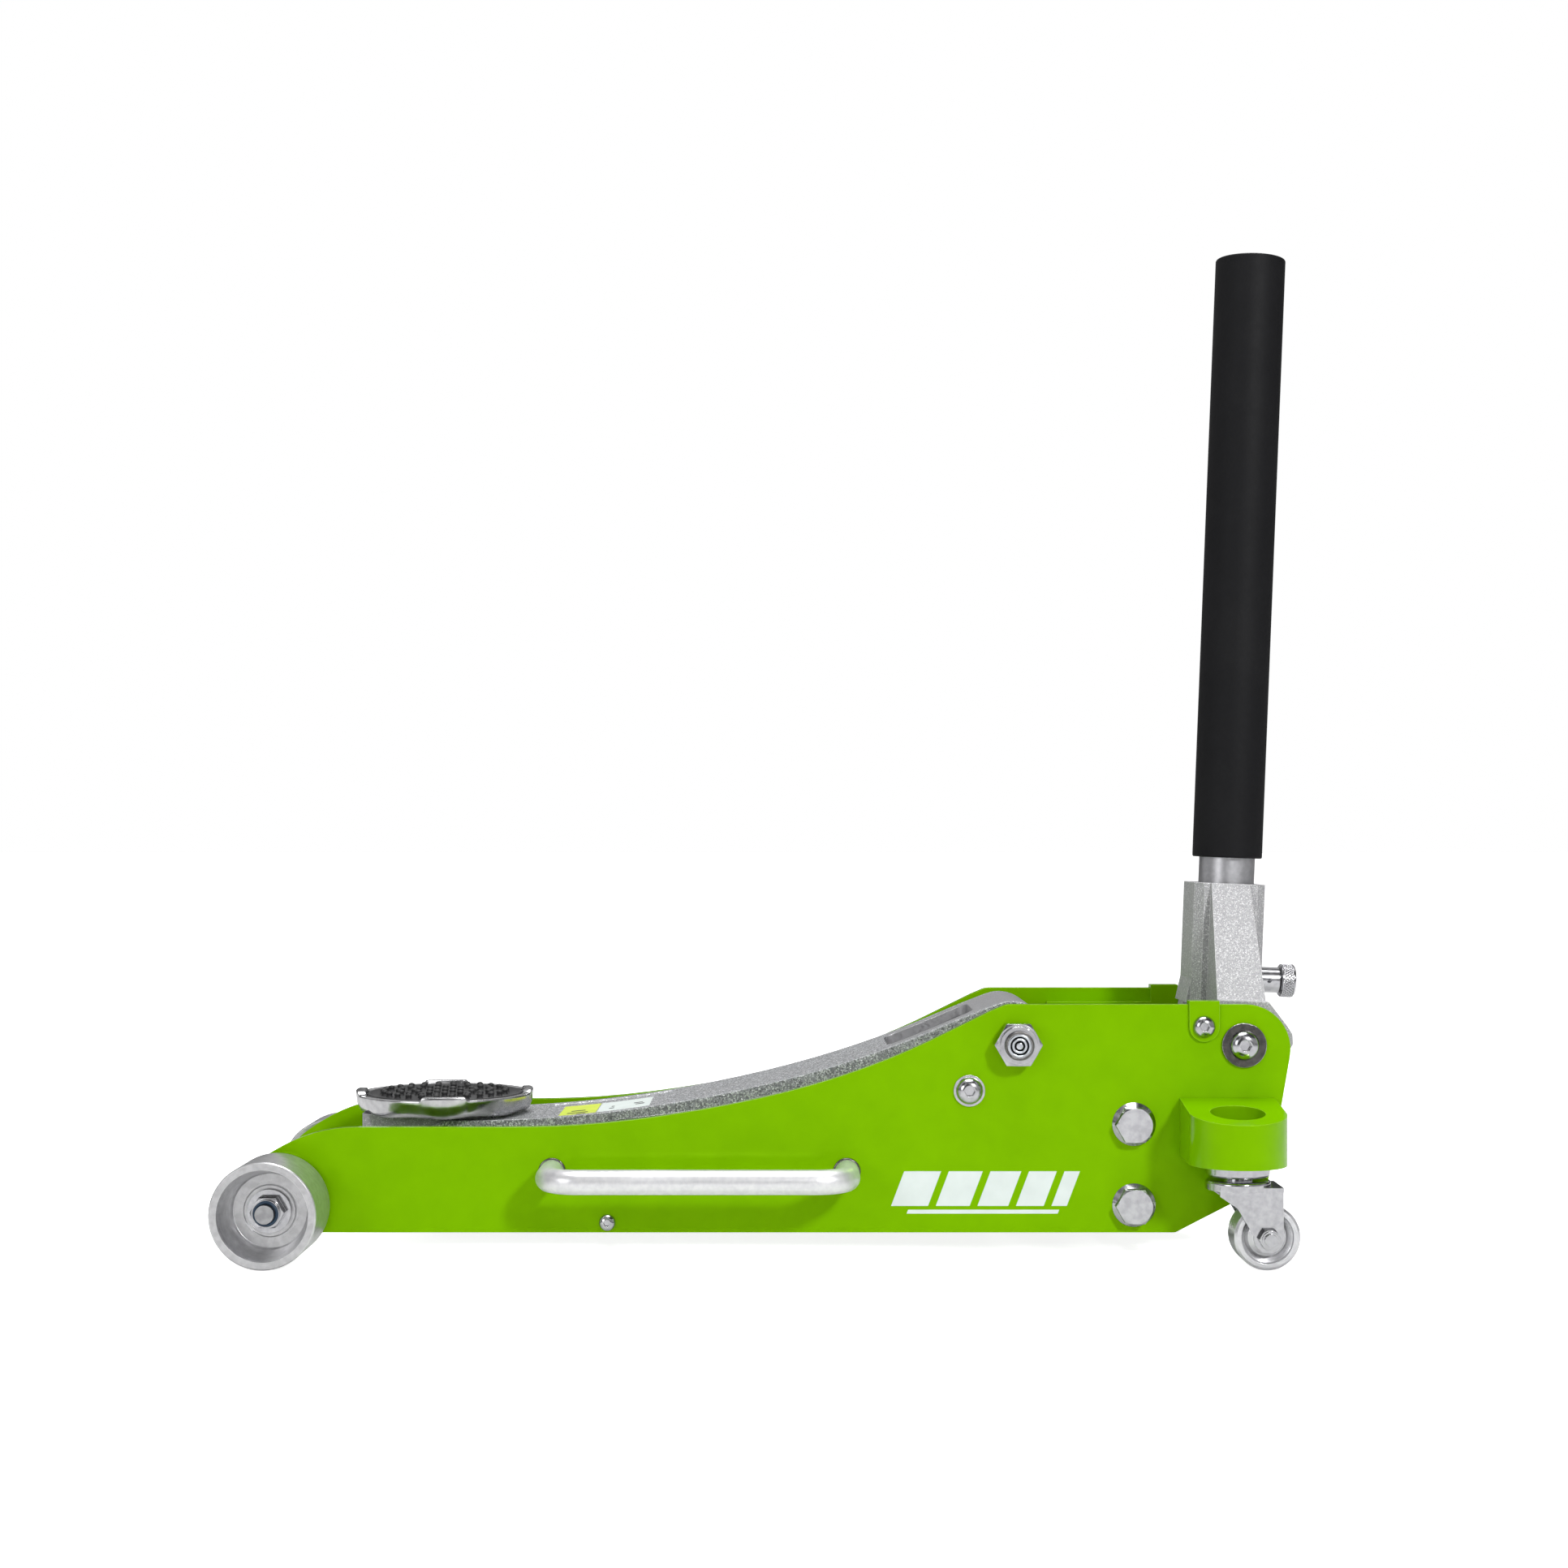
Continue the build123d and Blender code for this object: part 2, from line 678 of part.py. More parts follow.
# ================= saddle, pad and clip =================
clip_z = saddle_base_z - stem_len + 2.0
with BuildPart() as saddle:
    with BuildSketch(Plane.XZ) as dish_half:
        with BuildLine():
            Polyline((0, 0), (38.0, 0), (50.0, 0.3))
            ThreePointArc((50.0, 0.3), (56.0, 1.6), (saddle_r - 1.0, 5.0))
            Polyline(
                (saddle_r - 1.0, 5.0),
                (saddle_r, 8.0),
                (saddle_r, saddle_rim_z - saddle_base_z - 0.8),
                (saddle_r - 0.8, saddle_rim_z - saddle_base_z),
                (pad_r + 1.8, saddle_rim_z - saddle_base_z),
                (pad_r + 0.6, pad_floor_z - saddle_base_z),
                (0, pad_floor_z - saddle_base_z),
                (0, 0),
            )
        make_face()
    revolve(dish_half.sketch, axis=Axis.Z)
    with BuildSketch(Plane.XY.offset(saddle_rim_z - saddle_base_z)) as rim:
        Circle(saddle_r)
        Circle(pad_r + 1.8, mode=Mode.SUBTRACT)
        with BuildSketch(mode=Mode.INTERSECT):
            Rectangle(lug_w, 3 * saddle_r)
            Rectangle(3 * saddle_r, lug_w)
    extrude(rim.sketch, amount=lug_h)
    bar(Plane.XY.offset(-stem_len), stem_r, stem_len)
    clip_groove = Plane.XY.offset(clip_z - saddle_base_z)
    with Locations(clip_groove):
        Cylinder(stem_r + 1.0, 1.8, align=on_base, mode=Mode.SUBTRACT)
        Cylinder(stem_r - 1.2, 1.8, align=on_base)
saddle_turn = math.radians(saddle_turn_deg)
saddle_seat = Plane(
    origin=(saddle_x, 0, saddle_base_z),
    x_dir=(math.cos(saddle_turn), math.sin(saddle_turn), 0),
    z_dir=(0, 0, 1),
)
pieces["saddle"] = grouped(saddle.part, [saddle_seat])

with BuildPart() as clip:
    Cylinder(stem_r + 3.5, 1.6, align=on_base)
    Cylinder(stem_r - 1.15, 1.6, align=on_base, mode=Mode.SUBTRACT)
pieces["saddle_clip"] = grouped(clip.part, [Plane(origin=(saddle_x, 0, clip_z + 0.1))])

with BuildPart() as pad:
    with BuildSketch():
        Circle(pad_r)
    extrude(amount=pad_t)
    chamfer(pad.edges().group_by(Axis.Z)[-1], 0.8)
    with BuildSketch(Plane.XY.offset(pad_t)):
        with Locations((0, 0)):
            Circle(nub_r)
        for ring in range(1, 5):
            with PolarLocations(ring * nub_pitch, 6 * ring + (ring > 3) * 2):
                Circle(nub_r)
    extrude(amount=nub_h, taper=9)
pieces["saddle_pad"] = grouped(pad.part, [Plane(origin=(saddle_x, 0, pad_floor_z))])

# ================= ram, cylinder, tank and power unit =================
# a plane across the ram's axis, facing the saddle
def ram_plane(x):
    return Plane(origin=(x, 0, ram_z), x_dir=(0, 1, 0), z_dir=(-1, 0, 0))


piston_t = 10.0
gland_t = 8.0
cylinder_floor = 4.0
cylinder_x = block_x - 1.0
cylinder_end = cylinder_x + gland_t + ram_travel + piston_t + cylinder_floor + 3.0
tank_len = cylinder_end + 0.4 + tank_wall - tank_x
with BuildPart() as ram_head:
    bar(ram_plane(head_x + ram_head_t), ram_head_r, ram_head_t)
    chamfer(ram_head.edges().filter_by(GeomType.CIRCLE).group_by(Axis.X)[0], 1.5)
    bar_x = head_x + ram_head_t - 6.0
    block(
        (bar_x, -spring_y - 5.0, spring_z - 6.0),
        (head_x + ram_head_t, spring_y + 5.0, spring_z + 5.0),
    )
    bar(ram_plane(head_x + ram_head_t), 8.0 + screw_gap, 8.0, Mode.SUBTRACT)
pieces["ram_head"] = ram_head.part

piston_x = cylinder_end - cylinder_floor - 1.0 - piston_t
with BuildPart() as ram_rod:
    bar(ram_plane(piston_x), ram_rod_r, piston_x - head_x - ram_head_t)
    bar(ram_plane(head_x + ram_head_t), 8.0, 7.6)
    bar(ram_plane(piston_x + piston_t), ram_bore_r, piston_t)
pieces["ram_rod"] = ram_rod.part

with BuildPart() as cylinder:
    bar(ram_plane(cylinder_end), ram_tube_r, cylinder_end - cylinder_x)
    bar(
        ram_plane(cylinder_end - cylinder_floor),
        ram_bore_r + fit,
        cylinder_end - cylinder_floor - cylinder_x - gland_t,
        Mode.SUBTRACT,
    )
    bar(ram_plane(cylinder_x + gland_t), ram_rod_r + fit, gland_t, Mode.SUBTRACT)
pieces["ram_cylinder"] = cylinder.part

pump_up = (math.sin(math.radians(pump_deg)), 0, math.cos(math.radians(pump_deg)))
pump_out = (math.cos(math.radians(pump_deg)), 0, -math.sin(math.radians(pump_deg)))
pump_offset = pump_arm * (1 + math.cos(math.radians(pump_half_swing))) / 2
pump_lift = pump_arm * math.sin(math.radians(pump_half_swing))
pump_stroke = 2 * pump_lift
pump_top = pump_lift - pump_roller_r - pump_gap


# A plane across the pump's axis, a distance below the top of its pistons at rest.
def pump_plane(below, side):
    height = pump_top - below
    return Plane(
        origin=(
            yoke_x + pump_offset * pump_out[0] + height * pump_up[0],
            side * pump_side,
            yoke_z + pump_offset * pump_out[2] + height * pump_up[2],
        ),
        x_dir=pump_out,
        z_dir=pump_up,
    )


head_t = 4.0
nose_below = head_t + pump_stroke + 4.4
shoulder_below = nose_below + 21.0
foot_drop = yoke_z + pump_offset * pump_out[2] - foot_top_z
barrel_below = pump_top + (foot_drop - pump_barrel_r * pump_up[0] - 0.1) / pump_up[2]
spigot_len = 10.0
with BuildPart() as unit:
    block(
        (block_x, -block_half, block_bottom_z),
        (block_x + block_len, block_half, block_top_z),
    )
    fillet(unit.edges().filter_by(Axis.X), 5.0)
    bar(ram_plane(block_x + block_len), ram_tube_r + 4.0, block_len)
    for side in sides:
        for z in (unit_bolt_low_z, unit_bolt_high_z):
            bar(outward(unit_bolt_x, z, side, 0), 12.5, plate_in)
        near, far = sorted((0, side * plate_in))
        block(
            (unit_bolt_x - 9.0, near, unit_bolt_low_z),
            (unit_bolt_x + 9.0, far, unit_bolt_high_z),
        )
    block((block_x + 5.0, -foot_half, foot_bottom_z), (foot_end_x, foot_half, foot_top_z))
    bar(ram_plane(block_x + block_len), ram_tube_r + screw_gap, block_len, Mode.SUBTRACT)
    for side in sides:
        for z in (unit_bolt_low_z, unit_bolt_high_z):
            bar(
                outward(unit_bolt_x, z, side, plate_in - 30.0),
                unit_bolt_r + screw_gap,
                30.0,
                Mode.SUBTRACT,
            )
        bar(pump_plane(barrel_below + spigot_len, side), 7.0 + screw_gap, 40.0, Mode.SUBTRACT)
    bar(Plane(origin=(yoke_x, 0, foot_bottom_z + 2.0)), 4.0 + fit, 20.0, Mode.SUBTRACT)
pieces["power_unit"] = unit.part

with BuildPart() as tank:
    bar(ram_plane(tank_x + tank_len), tank_r, tank_len)
    chamfer(tank.edges().group_by(Axis.X)[-1], 2.0)
    block(
        (tank_x + tank_len - 20.0, -spring_y - 5.0, spring_z - 5.0),
        (tank_x + tank_len - 16.0, spring_y + 5.0, spring_z + 5.0),
    )
    bar(ram_plane(tank_x + tank_len - tank_wall), tank_r - tank_wall, tank_len - tank_wall, Mode.SUBTRACT)
pieces["oil_tank"] = tank.part

unit_bolt_head = hex_piece(22.0, 9.0)
with BuildPart() as unit_bolt:
    add(unit_bolt_head)
    Cone(14.2, 11.0, 3.0, align=on_base)
    bar(Plane.XY.offset(-plate_t - 26.0), unit_bolt_r, plate_t + 26.0)
pieces["power_unit_bolts"] = grouped(
    unit_bolt.part,
    [
        outward(unit_bolt_x, z, side, plate_out)
        for side in sides
        for z in (unit_bolt_low_z, unit_bolt_high_z)
    ],
)

spring_x0 = head_x + ram_head_t
spring_x1 = tank_x + tank_len - 20.0
pieces["return_springs"] = grouped(
    coil(spring_x1 - spring_x0, spring_r, 1.2, 16),
    [
        Plane(origin=(spring_x1, side * spring_y, spring_z), x_dir=(0, 1, 0), z_dir=(-1, 0, 0))
        for side in sides
    ],
)

# ================= pump =================
with BuildPart() as barrels:
    for side in sides:
        body_len = barrel_below - shoulder_below
        bar(pump_plane(barrel_below, side), pump_barrel_r, body_len)
        bar(pump_plane(shoulder_below, side), pump_rod_r + 1.6, shoulder_below - nose_below)
        bar(pump_plane(barrel_below + spigot_len, side), 7.0, spigot_len)
        bore_floor = head_t + 46.0 + pump_stroke + 2.0
        bar(
            pump_plane(bore_floor, side),
            pump_rod_r + fit,
            bore_floor - nose_below,
            Mode.SUBTRACT,
        )
pieces["pump_barrels"] = barrels.part

with BuildPart() as pistons:
    for side in sides:
        bar(pump_plane(head_t, side), 9.0, head_t)
        bar(pump_plane(head_t + 46.0, side), pump_rod_r, 46.0)
pieces["pump_pistons"] = pistons.part

pump_spring_len = shoulder_below - head_t
pieces["pump_springs"] = grouped(
    coil(pump_spring_len, 8.6, 1.0, 8), [pump_plane(shoulder_below, side) for side in sides]
)

# ================= release valve =================
ball_r = 5.2
cup_r = 8.5
cup_rim = 1.0
cup_depth = 9.0
with BuildPart() as valve_stem:
    bar(Plane(origin=(yoke_x, 0, foot_bottom_z + 3.0)), 4.0, yoke_z - foot_bottom_z - 3.0 - cup_rim - 2.0)
    bar(Plane(origin=(yoke_x, 0, yoke_z - cup_rim - cup_depth - 3.0)), cup_r, cup_depth + 3.0)
    with BuildSketch(Plane.XY.offset(yoke_z - cup_rim)):
        with Locations((yoke_x, 0)):
            RegularPolygon(ball_r + 0.4, 6, major_radius=False)
    extrude(amount=-cup_depth, mode=Mode.SUBTRACT)
pieces["valve_stem"] = valve_stem.part

# ================= yoke =================
# a plane across the handle's axis, at a height above the yoke pivot
def handle_level(height):
    return handle_plane.offset(height)


# A flat outline in the handle's own upright plane, given depth between two y values.
def yoke_slab(points, y0, y1):
    upright = Plane(
        origin=(yoke_x, y0, yoke_z), x_dir=tuple(handle_plane.x_dir), z_dir=(0, -1, 0)
    )
    with BuildSketch(upright) as outline:
        with BuildLine():
            Polyline(*points, close=True)
        make_face()
    extrude(outline.sketch, amount=-(y1 - y0))


roller_deg = 22.0 + handle_deg
roller_x = yoke_x + pump_arm * math.cos(math.radians(22.0))
roller_z = yoke_z + pump_arm * math.sin(math.radians(22.0))
roller_local_x = pump_arm * math.cos(math.radians(roller_deg))
roller_local_z = pump_arm * math.sin(math.radians(roller_deg))
socket_mid = (socket_rear - socket_front) / 2
gusset_top = (-14.9, 10.8)
gusset_foot = (-15.0, 17.4)
roller_ear_in = 25.0
roller_ear_out = 32.0
with BuildPart() as yoke:
    with BuildSketch(handle_level(socket_base)) as socket_plan:
        with Locations((socket_mid, 0)):
            Rectangle(socket_front + socket_rear, 2 * socket_half)
        chamfer(socket_plan.vertices(), 6.0)
    extrude(amount=socket_top - socket_base)
    yoke_slab(
        (
            (-socket_front + 0.7, socket_base + 20.0),
            (-socket_front - 3.0, socket_base),
            (0, socket_base),
            (0, socket_base + 20.0),
        ),
        -21.0,
        21.0,
    )
    for side in sides:
        inner = side * 18.0
        for level, (x0, x1), half in (
            (socket_top, gusset_top, socket_half + 1.2),
            (socket_base, gusset_foot, leg_out - 5.0),
        ):
            with BuildSketch(handle_level(level)):
                with Locations(((x0 + x1) / 2, side * (half + 18.0) / 2)):
                    Rectangle(x1 - x0, half - 18.0)
        loft()
        near, far = sorted((side * leg_in, side * leg_out))
        yoke_slab(
            (
                (-15.0, 28.0),
                (17.4, 28.0),
                (29.8, 13.0),
                (33.6, 7.6),
                (34.2, 1.0),
                (31.0, -5.0),
                (14.0, -14.0),
                (-14.0, -14.0),
                (-leg_r, 0),
            ),
            near,
            far,
        )
        cross(yoke_x, yoke_z, near, far, leg_r)
        near, far = sorted((side * roller_ear_in, side * roller_ear_out))
        yoke_slab(
            (
                (roller_local_x - 9.0, socket_base + 3.0),
                (roller_local_x - 9.0, roller_local_z),
                (roller_local_x + 9.0, roller_local_z),
                (min(roller_local_x + 9.0, socket_rear), socket_base + 3.0),
            ),
            near,
            far,
        )
        cross(roller_x, roller_z, near, far, 9.0)
    bar(handle_level(socket_base - 1.0), tube_r + fit, socket_top, Mode.SUBTRACT)
    cross(yoke_x, yoke_z, -plate_in, plate_in, yoke_bolt_r + fit, Mode.SUBTRACT)
    cross(roller_x, roller_z, -plate_in, plate_in, 3.0 + screw_gap, Mode.SUBTRACT)
    lock_axis = Plane(
        origin=tuple(handle_level(lock_height).origin),
        x_dir=(0, 1, 0),
        z_dir=tuple(handle_plane.x_dir),
    )
    bar(lock_axis, 6.0 + screw_gap, 40.0, Mode.SUBTRACT)
pieces["yoke"] = yoke.part

with BuildPart() as pump_roller:
    cross(roller_x, roller_z, -roller_ear_in + 0.3, roller_ear_in - 0.3, pump_roller_r)
    cross(roller_x, roller_z, -roller_ear_in, roller_ear_in, 3.0 + screw_gap, Mode.SUBTRACT)
pieces["pump_roller"] = pump_roller.part
with BuildPart() as roller_pin:
    cross(roller_x, roller_z, -roller_ear_out, roller_ear_out, 3.0)
pieces["pump_roller_pin"] = roller_pin.part

yoke_washer_t = 1.8
with BuildPart() as yoke_washer:
    Cylinder(14.4, yoke_washer_t, align=on_base)
    Cylinder(yoke_bolt_r + screw_gap, yoke_washer_t, align=on_base, mode=Mode.SUBTRACT)
pieces["yoke_washers"] = grouped(
    yoke_washer.part, [outward(yoke_x, yoke_z, side, plate_out) for side in sides]
)
yoke_nut_t = 7.0
yoke_bolt_len = yoke_washer_t + plate_out - leg_in + play + yoke_nut_t
pieces["yoke_bolts"] = grouped(
    button_screw(9.6, 5.6, 6.5, yoke_bolt_r, yoke_bolt_len),
    [outward(yoke_x, yoke_z, side, plate_out + yoke_washer_t) for side in sides],
)
yoke_nut = hex_piece(18.0, yoke_nut_t, yoke_bolt_r + screw_gap)
with BuildPart() as inner_nuts:
    for side in sides:
        with Locations(outward(link_bolt_x, link_bolt_z, side, link_in - play - link_nut_t)):
            add(link_nut)
        with Locations(outward(yoke_x, yoke_z, side, leg_in - play - yoke_nut_t)):
            add(yoke_nut)
pieces["inner_nuts"] = inner_nuts.part

# ================= handle lock =================
bush_end = 38.0
knob_gap = 0.6
knob_t = 10.0
groove_r = tube_r - 2.0
with BuildPart() as lock_bush:
    bar(lock_axis.offset(tube_r + 0.7), 6.0, 8.0)
    bar(lock_axis.offset(socket_rear + 0.1), 8.7, bush_end - socket_rear - 0.1)
    bar(lock_axis.offset(tube_r + 0.7), 4.0 + fit, bush_end, Mode.SUBTRACT)
    dimple = Plane(
        origin=tuple(lock_axis.offset(30.5).origin), x_dir=(1, 0, 0), z_dir=(0, -1, 0)
    )
    bar(dimple, 1.6, 12.0, Mode.SUBTRACT)
pieces["lock_bush"] = lock_bush.part

with BuildPart() as lock_knob:
    bar(lock_axis.offset(groove_r + 0.4), 4.0, bush_end + knob_gap - groove_r)
    with BuildSketch(lock_axis.offset(bush_end + knob_gap)) as knob_face:
        Circle(11.4)
        with PolarLocations(11.6, 36):
            Circle(0.45, mode=Mode.SUBTRACT)
    extrude(amount=knob_t)
pieces["lock_knob"] = lock_knob.part

# ================= handle =================
with BuildPart() as tube:
    bar(handle_level(tube_start), tube_r, tube_end - tube_start)
    bar(handle_level(tube_start), tube_r - tube_wall, tube_end - tube_start, Mode.SUBTRACT)
    bar(handle_level(tube_end - splice_len), splice_r, splice_len, Mode.SUBTRACT)
    with Locations(handle_level(lock_height - 5.0)):
        Cylinder(tube_r + 1.0, 10.0, align=on_base, mode=Mode.SUBTRACT)
        Cylinder(groove_r, 10.0, align=on_base)
        Cylinder(tube_r - tube_wall, 10.0, align=on_base, mode=Mode.SUBTRACT)
pieces["handle_tube"] = tube.part

with BuildPart() as grip:
    bar(handle_level(grip_start), grip_r, tube_end - grip_start)
    fillet(grip.edges().filter_by(GeomType.CIRCLE), 1.2)
    bar(handle_level(grip_start - 1.0), tube_r + screw_gap, tube_end, Mode.SUBTRACT)
pieces["foam_grip"] = grip.part

with BuildPart() as valve_driver:
    bar(handle_level(tube_start), tube_r - tube_wall - screw_gap, 16.0)
    bar(handle_level(0), 3.2, tube_start)
    with Locations(handle_plane):
        Sphere(ball_r)
pieces["valve_driver"] = valve_driver.part

# ================= top cover =================
cover_x0 = arm_pivot_x + 37.0
cover_x1 = yoke_x - socket_front - 23.3
ear_top_z = plate_top_z + play
wall = plate_in - play
with BuildPart() as cover:
    block((cover_x0, -wall, cover_z), (cover_x1, wall, cover_z + cover_t))
    for side in sides:
        near, far = sorted((side * (wall - cover_t), side * wall))
        block((cover_x0, near, cover_z), (ear_x + ear_w, far, cover_z + 8.0))
        block((ear_x, near, cover_z), (ear_x + ear_w, far, ear_top_z + cover_t))
        near, far = sorted((side * (wall - cover_t), side * (plate_out + cover_t)))
        block((ear_x, near, ear_top_z), (ear_x + ear_w, far, ear_top_z + cover_t))
        near, far = sorted((side * plate_out, side * (plate_out + cover_t)))
        block((ear_x, near, ear_screw_z), (ear_x + ear_w, far, ear_top_z + cover_t))
        cross(ear_x + ear_w / 2, ear_screw_z, near, far, ear_w / 2)
        cross(ear_screw_x, ear_screw_z, near, far, 4.0 + screw_gap, Mode.SUBTRACT)
pieces["top_cover"] = cover.part
cover_screw = button_screw(7.2, 4.4, 5.0, 4.0, plate_t + cover_t - 0.5)
with BuildPart() as plate_screws:
    for side in sides:
        with Locations(outward(ear_screw_x, ear_screw_z, side, plate_out + cover_t)):
            add(cover_screw)
        with Locations(outward(brace_x, brace_z, side, plate_out)):
            add(brace_screw)
pieces["plate_screws"] = plate_screws.part

# ================= carrying handles =================
carry_end = plate_in - 0.5


def carry_handle(side):
    reach = plate_out + carry_stand_off
    with BuildPart() as handle:
        with BuildLine() as path:
            FilletPolyline(
                (carry_front_x, side * carry_end, carry_z),
                (carry_front_x, side * reach, carry_z),
                (carry_rear_x, side * reach, carry_z),
                (carry_rear_x, side * carry_end, carry_z),
                radius=carry_bend_r,
            )
        with BuildSketch(outward(carry_front_x, carry_z, side, carry_end)):
            Circle(carry_r)
        sweep(path=path.line)
        for x in (carry_front_x, carry_rear_x):
            bar(outward(x, carry_z, side, carry_end), 4.0 + screw_gap, 16.0, Mode.SUBTRACT)
    return handle.part


pieces["carry_handle_left"] = carry_handle(-1)
pieces["carry_handle_right"] = carry_handle(1)

carry_washer_t = 2.0
carry_head = hex_piece(13.0, 4.5)
with BuildPart() as carry_screw:
    add(carry_head)
    Cylinder(11.0, carry_washer_t, align=on_base)
    bar(Plane.XY.offset(-14.0), 4.0, 14.0)
inward_seats = []
for side in sides:
    for x in (carry_front_x, carry_rear_x):
        inward_seats.append(Plane(origin=(x, side * carry_end, carry_z), x_dir=(1, 0, 0), z_dir=(0, -side, 0)))
pieces["carry_handle_screws"] = grouped(carry_screw.part, inward_seats)

# ================= casters =================
recess_r = 17.3
recess_floor = bracket_bottom_z + 10.0
stem_top = recess_floor + 14.0
caster_stem_r = 6.0


def caster_bracket(side):
    with BuildPart() as bracket:
        with BuildSketch(Plane.XY.offset(bracket_bottom_z)):
            with Locations((caster_x, side * caster_y)):
                Circle(bracket_half)
            with Locations((caster_x, side * (plate_out + caster_stand_off / 2))):
                Rectangle(2 * bracket_half, caster_stand_off)
        extrude(amount=bracket_top_z - bracket_bottom_z)
        reach = caster_stand_off + bracket_half
        with BuildSketch(Plane.YZ.offset(caster_x - bracket_half)) as wedge:
            with BuildLine():
                Polyline(
                    (side * plate_out, bracket_top_z),
                    (side * (plate_out + reach), bracket_top_z - bracket_slope),
                    (side * (plate_out + reach), bracket_top_z),
                    close=True,
                )
            make_face()
        extrude(wedge.sketch, amount=2 * bracket_half, mode=Mode.SUBTRACT)
        with Locations(Plane(origin=(caster_x, side * caster_y, recess_floor))):
            Cylinder(recess_r, 60.0, align=on_base, mode=Mode.SUBTRACT)
        bar(
            Plane(origin=(caster_x, side * caster_y, 0)),
            caster_stem_r + screw_gap,
            bracket_top_z,
            Mode.SUBTRACT,
        )
    return bracket.part


pieces["caster_bracket_left"] = caster_bracket(-1)
pieces["caster_bracket_right"] = caster_bracket(1)

race_t = 7.0
with BuildPart() as race:
    turned(
        (
            (0, -race_t),
            (caster_disc_r - 1.2, -race_t),
            (caster_disc_r, -race_t + 1.5),
            (caster_disc_r, -0.6),
            (caster_disc_r - 0.6, 0),
            (caster_stem_r, 0),
            (caster_stem_r, stem_top - bracket_bottom_z),
            (0, stem_top - bracket_bottom_z),
        )
    )
    bar(Plane.XY.offset(-race_t - 4.0), 9.0, 4.0)
stem_nut = hex_piece(19.0, 10.0, caster_stem_r + screw_gap)
with BuildPart() as caster_stems:
    for side in sides:
        with Locations(Plane(origin=(caster_x, side * caster_y, bracket_bottom_z))):
            add(race.part)
        with Locations(Plane(origin=(caster_x, side * caster_y, recess_floor))):
            add(stem_nut)
pieces["caster_stems"] = caster_stems.part

caster_axle_x = caster_x + caster_trail
fork_inner = caster_w / 2 + 1.2
fork_outer = fork_inner + fork_t
fork_bottom_z = fork_top_z - fork_head_t


def caster_fork(side):
    y = side * caster_y
    with BuildPart() as fork:
        bar(Plane(origin=(caster_x, y, fork_bottom_z)), caster_disc_r + 0.6, fork_head_t)
        fillet(fork.edges().filter_by(GeomType.CIRCLE).group_by(Axis.Z)[-1], 2.0)
        block(
            (caster_x + 8.0, y - fork_outer, fork_bottom_z),
            (caster_x + 26.0, y + fork_outer, fork_bottom_z + 2.5),
        )
        for cheek in sides:
            near, far = sorted((y + cheek * fork_inner, y + cheek * fork_outer))
            slab(
                (
                    (caster_x - 14.0, fork_bottom_z + 2.5),
                    (caster_x + 25.8, fork_bottom_z + 2.5),
                    (caster_x + 25.8, caster_r),
                    (caster_axle_x - 8.5, caster_r),
                    (caster_x - 3.0, fork_bottom_z - 10.5),
                    (caster_x - 14.0, fork_bottom_z - 3.0),
                ),
                near,
                far,
            )
            cross(caster_axle_x, caster_r, near, far, 9.3)
        cross(caster_axle_x, caster_r, y - fork_outer, y + fork_outer, 4.0 + screw_gap, Mode.SUBTRACT)
        bar(Plane(origin=(caster_x, y, fork_bottom_z)), 9.0 + fit, fork_head_t, Mode.SUBTRACT)
    return fork.part


with BuildPart() as caster_tyre:
    turned(
        (
            (4.0 + fit, -caster_w / 2),
            (8.5, -caster_w / 2),
            (8.5, -caster_w / 2 + 1.5),
            (12.0, -caster_w / 2 + 3.2),
            (16.0, -caster_w / 2 + 1.0),
            (16.6, -caster_w / 2),
            (caster_r - 1.6, -caster_w / 2),
            (caster_r, -caster_w / 2 + 1.6),
            (caster_r, caster_w / 2 - 1.6),
            (caster_r - 1.6, caster_w / 2),
            (16.6, caster_w / 2),
            (16.0, caster_w / 2 - 1.0),
            (12.0, caster_w / 2 - 3.2),
            (8.5, caster_w / 2 - 1.5),
            (8.5, caster_w / 2),
            (4.0 + fit, caster_w / 2),
        )
    )
caster_nut = hex_piece(12.0, 5.0, 0, 5.2, 1.2)
with BuildPart() as caster_axle:
    Cylinder(4.0, 2 * fork_outer, align=both)
    with Locations(Plane.XY.offset(fork_outer)):
        add(caster_nut)
        Cylinder(3.9, 8.2, align=on_base)
    with Locations(Plane.XY.offset(-fork_outer).rotated((180, 0, 0))):
        add(caster_nut)
for side, hand in ((-1, "left"), (1, "right")):
    pieces["caster_fork_" + hand] = caster_fork(side)
    middle = outward(caster_axle_x, caster_r, side, caster_y)
    pieces["caster_wheel_" + hand] = grouped(caster_tyre.part, [middle])
    pieces["caster_axle_" + hand] = grouped(caster_axle.part, [middle])

# ================= write every piece =================
os.makedirs("parts", exist_ok=True)
for name, piece in pieces.items():
    piece.label = name
    export_step(piece, f"parts/{name}.step")
print(len(pieces), "pieces")
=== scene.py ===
import json
import math
import bmesh
import bpy
from mathutils import Matrix, Vector
from mathutils.bvhtree import BVHTree


